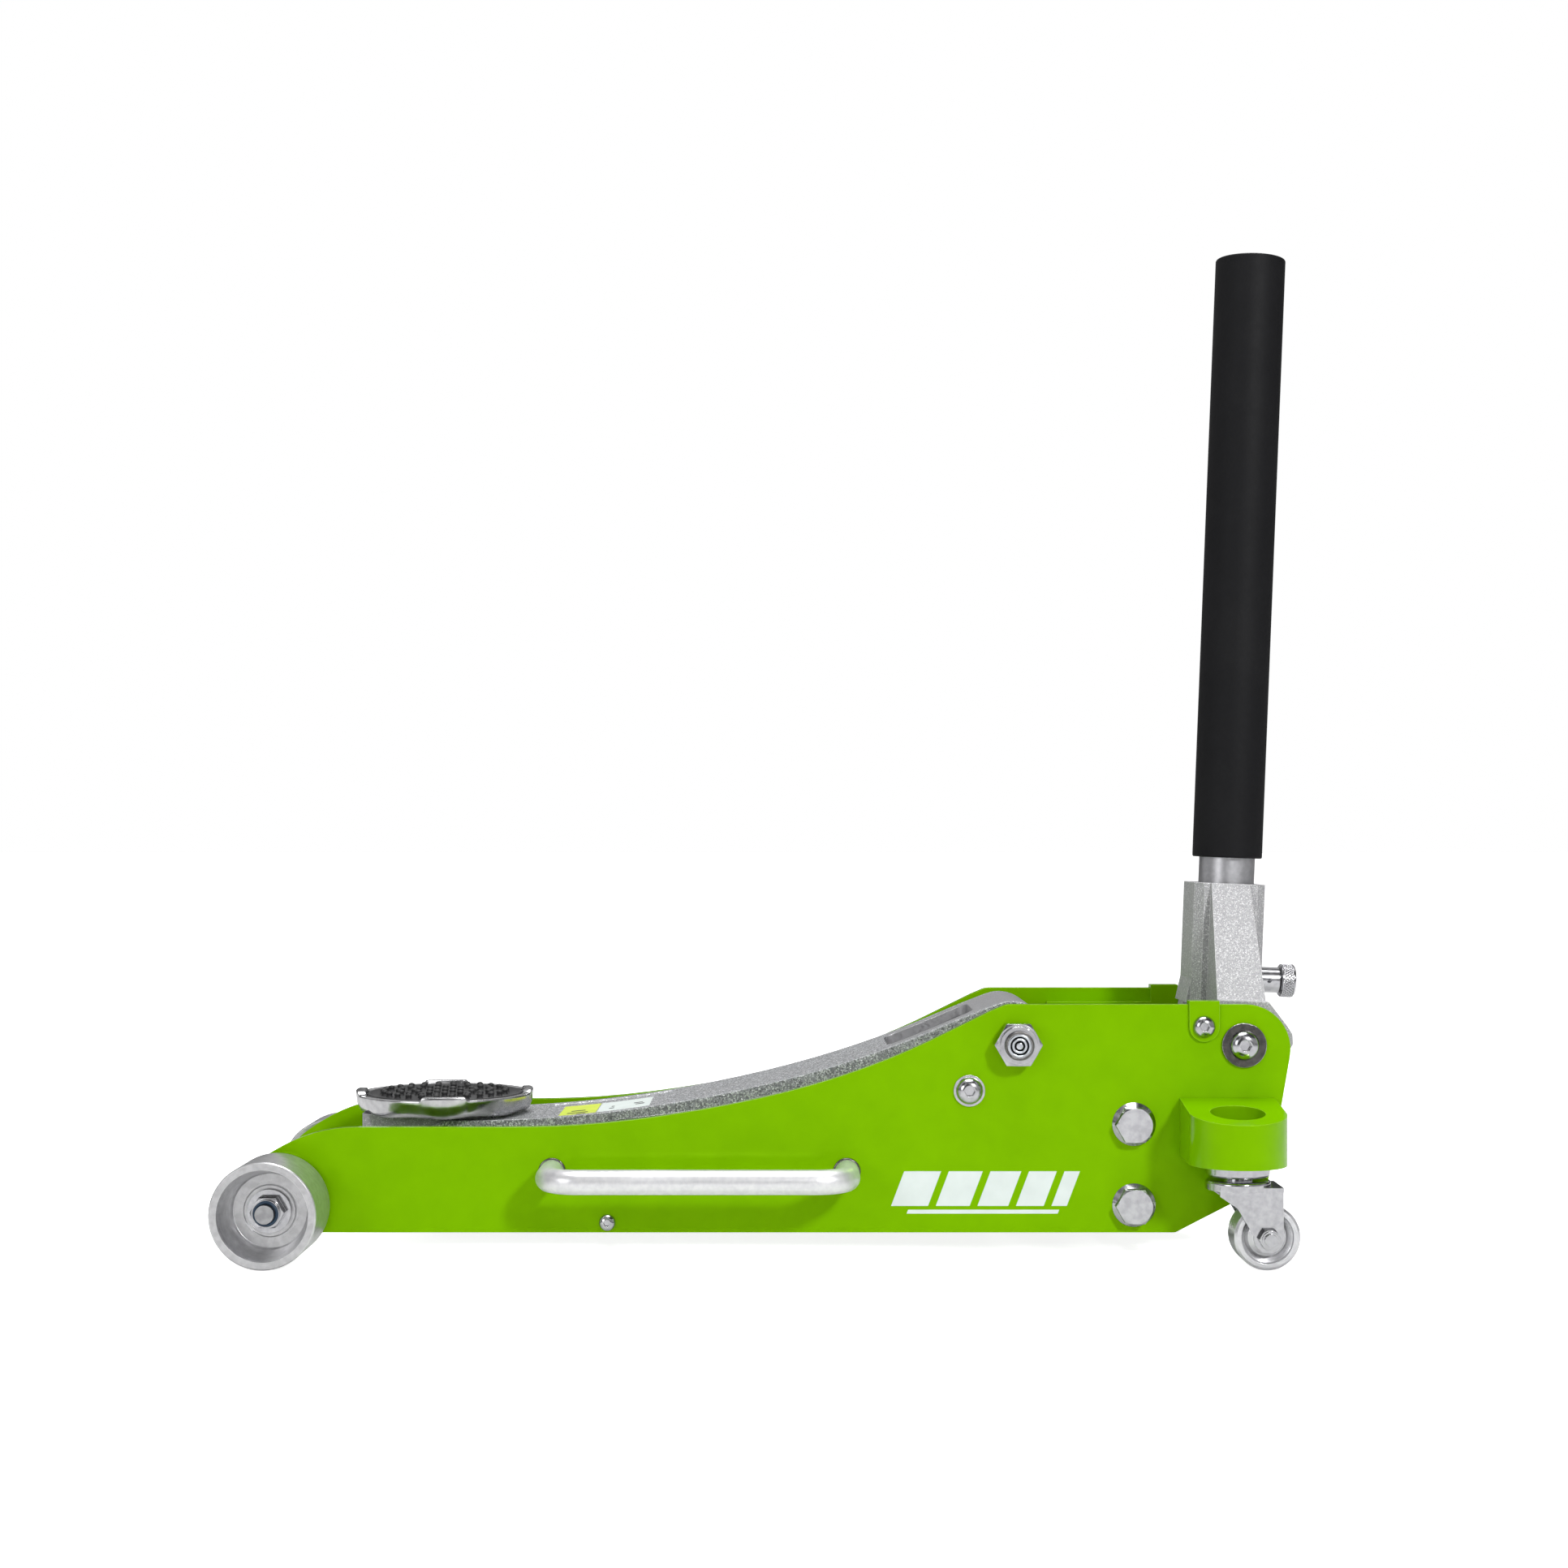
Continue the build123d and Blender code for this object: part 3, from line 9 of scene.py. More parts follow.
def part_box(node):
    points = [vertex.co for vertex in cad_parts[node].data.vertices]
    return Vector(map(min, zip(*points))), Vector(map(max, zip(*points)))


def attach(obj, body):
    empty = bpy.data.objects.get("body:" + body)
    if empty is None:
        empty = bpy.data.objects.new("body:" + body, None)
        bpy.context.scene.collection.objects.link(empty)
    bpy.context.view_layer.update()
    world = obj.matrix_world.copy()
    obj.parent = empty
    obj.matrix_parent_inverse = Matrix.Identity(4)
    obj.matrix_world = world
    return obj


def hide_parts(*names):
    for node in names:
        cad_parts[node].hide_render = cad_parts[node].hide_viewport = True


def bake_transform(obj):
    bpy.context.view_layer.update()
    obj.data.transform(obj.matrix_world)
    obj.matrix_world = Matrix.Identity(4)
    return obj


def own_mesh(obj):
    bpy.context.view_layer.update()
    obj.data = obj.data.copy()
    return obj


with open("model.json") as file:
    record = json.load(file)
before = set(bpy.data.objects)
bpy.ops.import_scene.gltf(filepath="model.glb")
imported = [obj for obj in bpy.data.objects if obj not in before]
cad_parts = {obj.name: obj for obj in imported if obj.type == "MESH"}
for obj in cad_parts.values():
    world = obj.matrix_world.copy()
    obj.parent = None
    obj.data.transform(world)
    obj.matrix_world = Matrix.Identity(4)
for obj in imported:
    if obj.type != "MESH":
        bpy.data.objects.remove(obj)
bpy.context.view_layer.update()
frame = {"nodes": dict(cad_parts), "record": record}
nodes = frame["nodes"]
print("frame loaded:", len(nodes), "CAD nodes")


# the angle at which an edge is drawn sharp, in degrees
sharpAngle = 32
# a plain metal's handling marks, and how much a ring dulls it
plainSmudge, metalSmudgeScale, ringDull = 0.08, 40.0, 0.08
# half the width over which the flakes stop at the edge of a smooth stretch
smoothEdge = 0.0006


# small helpers for shader trees
def addNode(tree, kind, settings=None, **inputs):
    node = tree.nodes.new(kind)
    for key, value in (settings or {}).items():
        setattr(node, key, value)
    for key, value in inputs.items():
        node.inputs[key].default_value = value
    return node


def calc(tree, operation, first, second=None, clamp=False):
    node = tree.nodes.new("ShaderNodeMath")
    node.operation = operation
    node.use_clamp = clamp
    for index, value in enumerate((first, second)):
        if value is None:
            continue
        if isinstance(value, (int, float)):
            node.inputs[index].default_value = value
        else:
            tree.links.new(value, node.inputs[index])
    return node.outputs[0]


def mixColor(tree, factor, first, second):
    node = tree.nodes.new("ShaderNodeMix")
    node.data_type = "RGBA"
    for index, value in ((0, factor), (6, first), (7, second)):
        if isinstance(value, (int, float, tuple)):
            node.inputs[index].default_value = value
        else:
            tree.links.new(value, node.inputs[index])
    return node.outputs[2]


def spread(tree, value, low, high, toLow=0.0, toHigh=1.0, smooth=False):
    node = tree.nodes.new("ShaderNodeMapRange")
    node.interpolation_type = "SMOOTHSTEP" if smooth else "LINEAR"
    tree.links.new(value, node.inputs["Value"])
    for name, number in (("From Min", low), ("From Max", high), ("To Min", toLow), ("To Max", toHigh)):
        node.inputs[name].default_value = number
    return node.outputs["Result"]


def startGroup(name, inputs, outputs):
    group = bpy.data.node_groups.new(name, "ShaderNodeTree")
    for label, kind, value in inputs:
        socket = group.interface.new_socket(label, in_out="INPUT", socket_type="NodeSocket" + kind)
        socket.default_value = value
    for label, kind in outputs:
        group.interface.new_socket(label, in_out="OUTPUT", socket_type="NodeSocket" + kind)
    return group, group.nodes.new("NodeGroupInput"), group.nodes.new("NodeGroupOutput")


# a thin painted highlight along sharp edges, and the softened normal that goes with it
def makeEdgeHighlight():
    group, given, result = startGroup(
        "edgeHighlight",
        [("Width", "Float", 0.0006), ("Gain", "Float", 6.0)],
        [("Edge", "Float"), ("Normal", "Vector")],
    )
    bevel = addNode(group, "ShaderNodeBevel", {"samples": 4})
    group.links.new(given.outputs["Width"], bevel.inputs["Radius"])
    plain = addNode(group, "ShaderNodeNewGeometry")
    dot = addNode(group, "ShaderNodeVectorMath", {"operation": "DOT_PRODUCT"})
    group.links.new(bevel.outputs[0], dot.inputs[0])
    group.links.new(plain.outputs["Normal"], dot.inputs[1])
    bent = calc(group, "SUBTRACT", 1.0, dot.outputs["Value"])
    edge = calc(group, "MULTIPLY", bent, given.outputs["Gain"], clamp=True)
    group.links.new(edge, result.inputs["Edge"])
    group.links.new(bevel.outputs[0], result.inputs["Normal"])
    return group


# fine pitted grain of a blasted or moulded skin
def makeFineGrain():
    group, given, result = startGroup(
        "fineGrain",
        [("Scale", "Float", 900.0), ("Coarse", "Float", 0.35)],
        [("Height", "Float"), ("Shade", "Float")],
    )
    place = addNode(group, "ShaderNodeTexCoord")
    small = addNode(group, "ShaderNodeTexNoise", Detail=3.0, Roughness=0.6)
    large = addNode(group, "ShaderNodeTexNoise", Detail=2.0, Roughness=0.5)
    group.links.new(place.outputs["Object"], small.inputs["Vector"])
    group.links.new(place.outputs["Object"], large.inputs["Vector"])
    group.links.new(given.outputs["Scale"], small.inputs["Scale"])
    group.links.new(calc(group, "MULTIPLY", given.outputs["Scale"], 0.16), large.inputs["Scale"])
    coarse = calc(group, "MULTIPLY", large.outputs["Fac"], given.outputs["Coarse"])
    height = calc(group, "ADD", small.outputs["Fac"], coarse)
    group.links.new(height, result.inputs["Height"])
    group.links.new(large.outputs["Fac"], result.inputs["Shade"])
    return group


# flakes of metal in a cast skin, each cell with its own brightness
def makeFlakes():
    group, given, result = startGroup(
        "castFlakes",
        [("Scale", "Float", 1300.0), ("Amount", "Float", 0.2)],
        [("Flake", "Float"), ("Cell", "Float"), ("Height", "Float")],
    )
    place = addNode(group, "ShaderNodeTexCoord")
    cells = addNode(group, "ShaderNodeTexVoronoi")
    group.links.new(place.outputs["Object"], cells.inputs["Vector"])
    group.links.new(given.outputs["Scale"], cells.inputs["Scale"])
    apart = addNode(group, "ShaderNodeSeparateColor")
    group.links.new(cells.outputs["Color"], apart.inputs[0])
    rest = calc(group, "SUBTRACT", 1.0, given.outputs["Amount"])
    flake = calc(group, "GREATER_THAN", apart.outputs[1], rest)
    group.links.new(flake, result.inputs["Flake"])
    group.links.new(apart.outputs[0], result.inputs["Cell"])
    group.links.new(apart.outputs[2], result.inputs["Height"])
    return group


# cutting marks left round an axis by a lathe
def makeTurnedRings():
    group, given, result = startGroup(
        "turnedRings",
        [("Centre", "Vector", (0, 0, 0)), ("Axis", "Vector", (0, 1, 0)), ("Pitch", "Float", 0.0012)],
        [("Height", "Float"), ("Shade", "Float")],
    )
    place = addNode(group, "ShaderNodeTexCoord")
    fromCentre = addNode(group, "ShaderNodeVectorMath", {"operation": "SUBTRACT"})
    group.links.new(place.outputs["Object"], fromCentre.inputs[0])
    group.links.new(given.outputs["Centre"], fromCentre.inputs[1])
    across = addNode(group, "ShaderNodeVectorMath", {"operation": "CROSS_PRODUCT"})
    group.links.new(fromCentre.outputs[0], across.inputs[0])
    group.links.new(given.outputs["Axis"], across.inputs[1])
    length = addNode(group, "ShaderNodeVectorMath", {"operation": "LENGTH"})
    group.links.new(across.outputs[0], length.inputs[0])
    turns = calc(group, "DIVIDE", length.outputs["Value"], given.outputs["Pitch"])
    lines = addNode(
        group, "ShaderNodeTexNoise", {"noise_dimensions": "1D"}, Scale=1.0, Detail=3.0, Roughness=0.7
    )
    group.links.new(turns, lines.inputs["W"])
    group.links.new(lines.outputs["Fac"], result.inputs["Height"])
    group.links.new(spread(group, lines.outputs["Fac"], 0.3, 0.7), result.inputs["Shade"])
    return group


# handling marks: broad patches that are a little duller
def makeSmudges():
    group, given, result = startGroup(
        "handlingSmudges", [("Scale", "Float", 18.0), ("Amount", "Float", 0.1)], [("Dull", "Float")]
    )
    place = addNode(group, "ShaderNodeTexCoord")
    patches = addNode(group, "ShaderNodeTexNoise", Detail=5.0, Roughness=0.65)
    group.links.new(place.outputs["Object"], patches.inputs["Vector"])
    group.links.new(given.outputs["Scale"], patches.inputs["Scale"])
    dull = calc(
        group, "MULTIPLY", spread(group, patches.outputs["Fac"], 0.42, 0.68, smooth=True),
        given.outputs["Amount"]
    )
    group.links.new(dull, result.inputs["Dull"])
    return group


edgeHighlight = makeEdgeHighlight()
fineGrain = makeFineGrain()
castFlakes = makeFlakes()
turnedRings = makeTurnedRings()
handlingSmudges = makeSmudges()


def useGroup(tree, group, **values):
    node = tree.nodes.new("ShaderNodeGroup")
    node.node_tree = group
    for key, value in values.items():
        node.inputs[key].default_value = value
    return node


def startMaterial(name):
    material = bpy.data.materials.new(name)
    material.use_nodes = True
    tree = material.node_tree
    return material, tree, tree.nodes["Principled BSDF"]


def bumpInto(tree, shader, height, distance, strength, under=None):
    bump = addNode(tree, "ShaderNodeBump", Distance=distance, Strength=strength)
    tree.links.new(height, bump.inputs["Height"])
    if under is not None:
        tree.links.new(under, bump.inputs["Normal"])
    tree.links.new(bump.outputs[0], shader.inputs["Normal"])


# glossy powder coat with a slight orange peel and a painted highlight line on the cut edges
def makePowderCoat(name, look):
    material, tree, shader = startMaterial(name)
    edge = useGroup(tree, edgeHighlight, Width=look["edgeWidth"], Gain=look["edgeGain"])
    peel = useGroup(tree, fineGrain, Scale=look["peelScale"], Coarse=1.2)
    smudge = useGroup(tree, handlingSmudges, Scale=look["smudgeScale"], Amount=look["smudge"])
    tone = mixColor(tree, spread(tree, peel.outputs["Shade"], 0.35, 0.65), look["color"], look["deepColor"])
    # the edge mask mixes in the painted highlight colour along sharp edges
    tree.links.new(mixColor(tree, edge.outputs["Edge"], tone, look["edgeHighlightColor"]), shader.inputs["Base Color"])
    tree.links.new(calc(tree, "ADD", smudge.outputs["Dull"], look["roughness"]), shader.inputs["Roughness"])
    shader.inputs["Coat Weight"].default_value = look["coat"]
    shader.inputs["Coat Roughness"].default_value = look["coatRoughness"]
    shader.inputs["Specular IOR Level"].default_value = look["specular"]
    shader.inputs["Specular Tint"].default_value = look.get("tint", (1, 1, 1, 1))
    bumpInto(tree, shader, peel.outputs["Height"], 0.00006, look["peel"], edge.outputs["Normal"])
    return material


# cast metal with bright flakes and a painted highlight on its edges; smoothBox keeps one stretch of it plain
def makeCast(name, look):
    material, tree, shader = startMaterial(name)
    edge = useGroup(tree, edgeHighlight, Width=look["edgeWidth"], Gain=look["edgeGain"])
    flakes = useGroup(tree, castFlakes, Scale=look["flakeScale"], Amount=look["flakes"])
    grain = useGroup(tree, fineGrain, Scale=look["grainScale"], Coarse=0.5)
    skin = mixColor(tree, flakes.outputs["Cell"], look["darkColor"], look["lightColor"])
    bright = mixColor(tree, flakes.outputs["Flake"], skin, look["flakeColor"])
    if look.get("smoothBox"):
        low, high = look["smoothBox"]
        place = addNode(tree, "ShaderNodeTexCoord")
        apart = addNode(tree, "ShaderNodeSeparateXYZ")
        tree.links.new(place.outputs["Object"], apart.inputs[0])
        plain = None
        for index in range(3):
            above = spread(tree, apart.outputs[index], low[index] - smoothEdge, low[index] + smoothEdge)
            below = spread(
                tree, apart.outputs[index], high[index] - smoothEdge, high[index] + smoothEdge, 1.0, 0.0
            )
            inside = calc(tree, "MULTIPLY", above, below)
            plain = inside if plain is None else calc(tree, "MULTIPLY", plain, inside)
        rough = calc(tree, "SUBTRACT", 1.0, plain)
        bright = mixColor(tree, plain, bright, look["smoothColor"])
    else:
        rough = None
    # the edge mask mixes in the painted highlight colour along sharp edges
    tree.links.new(
        mixColor(tree, edge.outputs["Edge"], bright, look["edgeHighlightColor"]), shader.inputs["Base Color"]
    )
    shader.inputs["Metallic"].default_value = look["metallic"]
    spots = calc(tree, "MULTIPLY", flakes.outputs["Flake"], -look["flakeShine"])
    tree.links.new(calc(tree, "ADD", spots, look["roughness"]), shader.inputs["Roughness"])
    height = calc(tree, "ADD", flakes.outputs["Height"], grain.outputs["Height"])
    if rough is not None:
        height = calc(tree, "MULTIPLY", height, calc(tree, "ADD", calc(tree, "MULTIPLY", rough, 0.85), 0.15))
    bumpInto(tree, shader, height, look["bumpDepth"], look["bump"], edge.outputs["Normal"])
    return material


# plated, machined or polished metal, with a lathe's rings where a centre is given and a painted highlight on
# its edges where an edge colour is given
def makeMetal(name, look):
    material, tree, shader = startMaterial(name)
    edge = useGroup(tree, edgeHighlight, Width=look.get("edgeWidth", 0.0004), Gain=look.get("edgeGain", 3.0))
    smudge = useGroup(tree, handlingSmudges, Scale=metalSmudgeScale, Amount=look.get("smudge", plainSmudge))
    grain = useGroup(tree, fineGrain, Scale=look.get("grainScale", 1500.0), Coarse=0.6)
    color = mixColor(tree, spread(tree, grain.outputs["Shade"], 0.35, 0.65), look["color"], look["deepColor"])
    height = grain.outputs["Height"]
    dull = smudge.outputs["Dull"]
    if look.get("centre"):
        rings = useGroup(
            tree, turnedRings, Centre=look["centre"], Axis=(0, 1, 0), Pitch=look["pitch"]
        )
        color = mixColor(
            tree, calc(tree, "MULTIPLY", rings.outputs["Shade"], look["ringShade"]), color, look["deepColor"]
        )
        height = rings.outputs["Height"]
        dull = calc(tree, "ADD", dull, calc(tree, "MULTIPLY", rings.outputs["Shade"], ringDull))
    # the edge mask mixes in the painted highlight colour along sharp edges
    tree.links.new(
        mixColor(tree, edge.outputs["Edge"], color, look.get("edgeHighlightColor", look["color"])),
        shader.inputs["Base Color"]
    )
    shader.inputs["Metallic"].default_value = look.get("metallic", 1.0)
    tree.links.new(calc(tree, "ADD", dull, look["roughness"]), shader.inputs["Roughness"])
    bumpInto(
        tree, shader, height, look.get("bumpDepth", 0.00003), look.get("bump", 0.25), edge.outputs["Normal"]
    )
    return material


# matt rubber and foam: dark, with a soft grey bloom in broad random patches
def makeRubber(name, look):
    material, tree, shader = startMaterial(name)
    grain = useGroup(tree, fineGrain, Scale=look["grainScale"], Coarse=0.8)
    bloom = useGroup(tree, handlingSmudges, Scale=look["smudgeScale"], Amount=1.0)
    tone = mixColor(
        tree, calc(tree, "MULTIPLY", bloom.outputs["Dull"], look["bloom"]), look["color"], look["bloomColor"]
    )
    tree.links.new(tone, shader.inputs["Base Color"])
    tree.links.new(
        calc(tree, "ADD", calc(tree, "MULTIPLY", grain.outputs["Shade"], 0.1), look["roughness"]),
        shader.inputs["Roughness"]
    )
    shader.inputs["Specular IOR Level"].default_value = look["specular"]
    shader.inputs["Sheen Weight"].default_value = look["sheen"]
    shader.inputs["Sheen Roughness"].default_value = 0.4
    bumpInto(tree, shader, grain.outputs["Height"], look["bumpDepth"], look["bump"])
    return material


# the edge colour in each finish is a painted highlight along its sharp edges
finishes = {
    "greenCoat": {
        "color": (0.158, 0.375, 0.000, 1), "deepColor": (0.148, 0.358, 0.000, 1),
        "edgeHighlightColor": (0.36, 0.66, 0.04, 1), "edgeWidth": 0.0007, "edgeGain": 4.0, "peelScale": 300.0,
        "peel": 0.05, "roughness": 0.12, "tint": (0.55, 1.0, 0.03, 1), "coat": 0.0, "coatRoughness": 0.12,
        "specular": 0.5, "smudge": 0.05, "smudgeScale": 12.0,
    },
    "unitCoat": {
        "color": (0.030, 0.032, 0.034, 1), "deepColor": (0.022, 0.024, 0.025, 1),
        "edgeHighlightColor": (0.10, 0.10, 0.10, 1), "edgeWidth": 0.0007, "edgeGain": 3.0, "peelScale": 380.0,
        "peel": 0.25, "roughness": 0.42, "coat": 0.1, "coatRoughness": 0.3, "specular": 0.4, "smudge": 0.15,
        "smudgeScale": 20.0,
    },
    "armCast": {
        "darkColor": (0.15, 0.155, 0.16, 1), "lightColor": (0.50, 0.51, 0.53, 1),
        "flakeColor": (0.90, 0.91, 0.93, 1), "smoothColor": (0.36, 0.36, 0.37, 1),
        "edgeHighlightColor": (0.85, 0.86, 0.88, 1), "flakeScale": 1150.0, "flakes": 0.22, "grainScale": 700.0,
        "edgeWidth": 0.0012, "edgeGain": 1.5, "metallic": 0.75, "roughness": 0.48, "flakeShine": 0.2,
        "bumpDepth": 0.00022, "bump": 0.55, "smoothBox": ((0.078, -0.0435, 0.0), (0.30, 0.0435, 0.30)),
    },
    "blastedCast": {
        "darkColor": (0.27, 0.27, 0.28, 1), "lightColor": (0.40, 0.40, 0.41, 1),
        "flakeColor": (0.58, 0.58, 0.59, 1), "edgeHighlightColor": (0.92, 0.92, 0.93, 1), "flakeScale": 1700.0,
        "flakes": 0.15, "grainScale": 1100.0, "edgeWidth": 0.0009, "edgeGain": 3.0, "metallic": 0.25,
        "roughness": 0.5, "flakeShine": 0.1, "bumpDepth": 0.00012, "bump": 0.35,
    },
    # polished chrome, also used for the painted highlight along the arm's lower lip
    "chromeAndHighlight": {
        "color": (0.66, 0.66, 0.67, 1), "deepColor": (0.60, 0.60, 0.61, 1), "roughness": 0.09, "smudge": 0.08,
        "bump": 0.06
    },
    "dishChrome": {
        "color": (0.56, 0.56, 0.57, 1), "deepColor": (0.46, 0.46, 0.47, 1), "roughness": 0.17, "smudge": 0.10,
        "bump": 0.06
    },
    "boltEnd": {
        "color": (0.62, 0.65, 0.69, 1), "deepColor": (0.52, 0.55, 0.58, 1), "roughness": 0.22, "smudge": 0.06,
        "bump": 0.1
    },
    "zincPlate": {
        "color": (0.52, 0.52, 0.54, 1), "deepColor": (0.42, 0.42, 0.44, 1), "roughness": 0.15, "smudge": 0.08,
        "bump": 0.16, "edgeHighlightColor": (0.85, 0.85, 0.86, 1),
    },
    "plainSteel": {
        "color": (0.42, 0.42, 0.43, 1), "deepColor": (0.33, 0.33, 0.34, 1), "roughness": 0.36, "smudge": 0.16,
        "bump": 0.25
    },
    # dark plated metal, also used for the rings of painted shade at the handle holes and round the pivot bolt
    "darkNickelAndShade": {
        "color": (0.11, 0.105, 0.10, 1), "deepColor": (0.07, 0.068, 0.066, 1),
        "edgeHighlightColor": (0.62, 0.61, 0.60, 1), "edgeGain": 7.0, "edgeWidth": 0.0008, "roughness": 0.24,
        "smudge": 0.1,
    },
    "springSteel": {
        "color": (0.26, 0.26, 0.27, 1), "deepColor": (0.18, 0.18, 0.19, 1), "roughness": 0.32, "smudge": 0.12
    },
    "bushBronze": {"color": (0.55, 0.36, 0.14, 1), "deepColor": (0.46, 0.29, 0.11, 1), "roughness": 0.32},
    "frontWheelMetal": {
        "color": (0.60, 0.60, 0.61, 1), "deepColor": (0.48, 0.48, 0.49, 1), "roughness": 0.27, "smudge": 0.02,
        "metallic": 0.85, "centre": (-0.32115, 0, 0.034), "pitch": 0.0007, "ringShade": 0.35, "bump": 0.35,
        "bumpDepth": 0.00006, "edgeHighlightColor": (0.86, 0.86, 0.87, 1), "edgeWidth": 0.0006, "edgeGain": 4.0,
    },
    "casterMetal": {
        "color": (0.70, 0.70, 0.72, 1), "deepColor": (0.58, 0.58, 0.60, 1), "roughness": 0.20, "smudge": 0.03,
        "metallic": 0.75, "centre": (0.31035, 0, 0.02085), "pitch": 0.0006, "ringShade": 0.4, "bump": 0.25,
        "bumpDepth": 0.00004, "edgeHighlightColor": (0.85, 0.85, 0.86, 1),
    },
    "satinMetal": {
        "color": (0.74, 0.74, 0.75, 1), "deepColor": (0.66, 0.66, 0.68, 1), "roughness": 0.38, "smudge": 0.06,
        "grainScale": 1700.0, "bump": 0.35, "bumpDepth": 0.00005, "metallic": 0.75,
    },
    "tubeMetal": {
        "color": (0.50, 0.50, 0.52, 1), "deepColor": (0.43, 0.43, 0.45, 1), "roughness": 0.34, "smudge": 0.06,
        "grainScale": 1700.0, "bump": 0.35, "bumpDepth": 0.00005,
    },
}
rubbers = {
    "padRubber": {
        "color": (0.010, 0.010, 0.011, 1), "bloomColor": (0.05, 0.05, 0.05, 1), "bloom": 0.5,
        "grainScale": 1100.0, "smudgeScale": 90.0, "roughness": 0.55, "specular": 0.5, "sheen": 0.05,
        "bumpDepth": 0.00008, "bump": 0.3,
    },
    "gripFoam": {
        "color": (0.005, 0.005, 0.006, 1), "bloomColor": (0.009, 0.009, 0.010, 1), "bloom": 0.4,
        "grainScale": 1500.0, "smudgeScale": 20.0, "roughness": 0.55, "specular": 0.14, "sheen": 0.0,
        "bumpDepth": 0.0001, "bump": 0.3,
    },
    "nylonBlue": {
        "color": (0.010, 0.030, 0.060, 1), "bloomColor": (0.03, 0.06, 0.10, 1), "bloom": 0.4,
        "grainScale": 900.0, "smudgeScale": 200.0, "roughness": 0.35, "specular": 0.5, "sheen": 0.0,
        "bumpDepth": 0.00003, "bump": 0.2,
    },
}
# the decals' edge colour is a faint painted highlight along their edges
decals = {
    "decalWhite": {
        "color": (0.64, 0.70, 0.68, 1), "deepColor": (0.60, 0.66, 0.64, 1),
        "edgeHighlightColor": (0.70, 0.75, 0.73, 1), "edgeWidth": 0.0001, "edgeGain": 0.5, "peelScale": 500.0,
        "peel": 0.05, "roughness": 0.4, "coat": 0.1, "coatRoughness": 0.2, "specular": 0.3, "smudge": 0.05,
        "smudgeScale": 30.0,
    },
    "decalYellow": {
        "color": (0.62, 0.74, 0.03, 1), "deepColor": (0.55, 0.68, 0.02, 1),
        "edgeHighlightColor": (0.70, 0.80, 0.08, 1), "edgeWidth": 0.0001, "edgeGain": 0.5, "peelScale": 500.0,
        "peel": 0.05, "roughness": 0.35, "coat": 0.2, "coatRoughness": 0.2, "specular": 0.4, "smudge": 0.05,
        "smudgeScale": 30.0,
    },
}
paints = {name: makePowderCoat(name, finishes[name]) for name in ("greenCoat", "unitCoat")}
casts = {name: makeCast(name, finishes[name]) for name in ("armCast", "blastedCast")}
metals = {
    name: makeMetal(name, look) for name, look in finishes.items() if name not in paints and name not in casts
}
softs = {name: makeRubber(name, look) for name, look in rubbers.items()}
stickers = {name: makePowderCoat(name, look) for name, look in decals.items()}
allFinishes = {**stickers, **paints, **casts, **metals, **softs}
print("materials ready:", len(allFinishes))

# which finish each record slot takes
slotFinish = {
    "green_paint": "greenCoat", "arm_paint": "armCast", "cast_metal": "blastedCast", "unit_paint": "unitCoat",
    "polished_steel": "chromeAndHighlight", "zinc_plate": "zincPlate", "plain_steel": "plainSteel",
    "dark_plate": "darkNickelAndShade", "spring_steel": "springSteel", "bush_bronze": "bushBronze",
    "pad_rubber": "padRubber", "wheel_metal": "frontWheelMetal", "caster_metal": "casterMetal",
    "satin_metal": "satinMetal", "grip_foam": "gripFoam",
}
nodeFinish = {"handle_tube": "tubeMetal"}
slotOf = {part["node"]: part["material_slot"] for part in frame["record"]["subparts"]}
for nodeName, node in nodes.items():
    node.data.materials.clear()
    node.data.materials.append(allFinishes[nodeFinish.get(nodeName, slotFinish[slotOf[nodeName]])])
    for face in node.data.polygons:
        face.use_smooth = True
    node.data.set_sharp_from_angle(angle=math.radians(sharpAngle))
print("CAD nodes finished")

scene = bpy.context.scene


# helpers for pieces made here
def finishPiece(name, mesh, finish, body, sharp=sharpAngle):
    mesh.normal_update()
    bmesh.ops.recalc_face_normals(mesh, faces=mesh.faces)
    data = bpy.data.meshes.new(name)
    mesh.to_mesh(data)
    mesh.free()
    piece = bpy.data.objects.new(name, data)
    scene.collection.objects.link(piece)
    data.materials.append(allFinishes[finish])
    for face in data.polygons:
        face.use_smooth = True
    data.set_sharp_from_angle(angle=math.radians(sharp))
    if body:
        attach(piece, body)
    return piece


# a frame whose third axis is the given direction
def standing(origin, direction, turn=0.0):
    turned = Vector(direction).normalized().to_track_quat("Z", "Y").to_matrix().to_4x4()
    return Matrix.Translation(origin) @ turned @ Matrix.Rotation(turn, 4, "Z")


# rows of (radius, height) turned about the frame's third axis; shape may move a point by angle and row
def revolveRows(mesh, rows, segments, place, shape=None):
    rings = []
    for index, (radius, height) in enumerate(rows):
        if radius == 0:
            rings.append([mesh.verts.new(place @ Vector((0, 0, height)))])
            continue
        ring = []
        for step in range(segments):
            angle = 2 * math.pi * step / segments
            outward, upward = shape(angle, index) if shape else (0.0, 0.0)
            reach = radius + outward
            point = Vector((reach * math.cos(angle), reach * math.sin(angle), height + upward))
            ring.append(mesh.verts.new(place @ point))
        rings.append(ring)
    for low, high in zip(rings, rings[1:]):
        for step in range(segments):
            after = (step + 1) % segments
            if len(low) == 1:
                mesh.faces.new((low[0], high[step], high[after]))
            elif len(high) == 1:
                mesh.faces.new((low[step], low[after], high[0]))
            else:
                mesh.faces.new((low[step], low[after], high[after], high[step]))


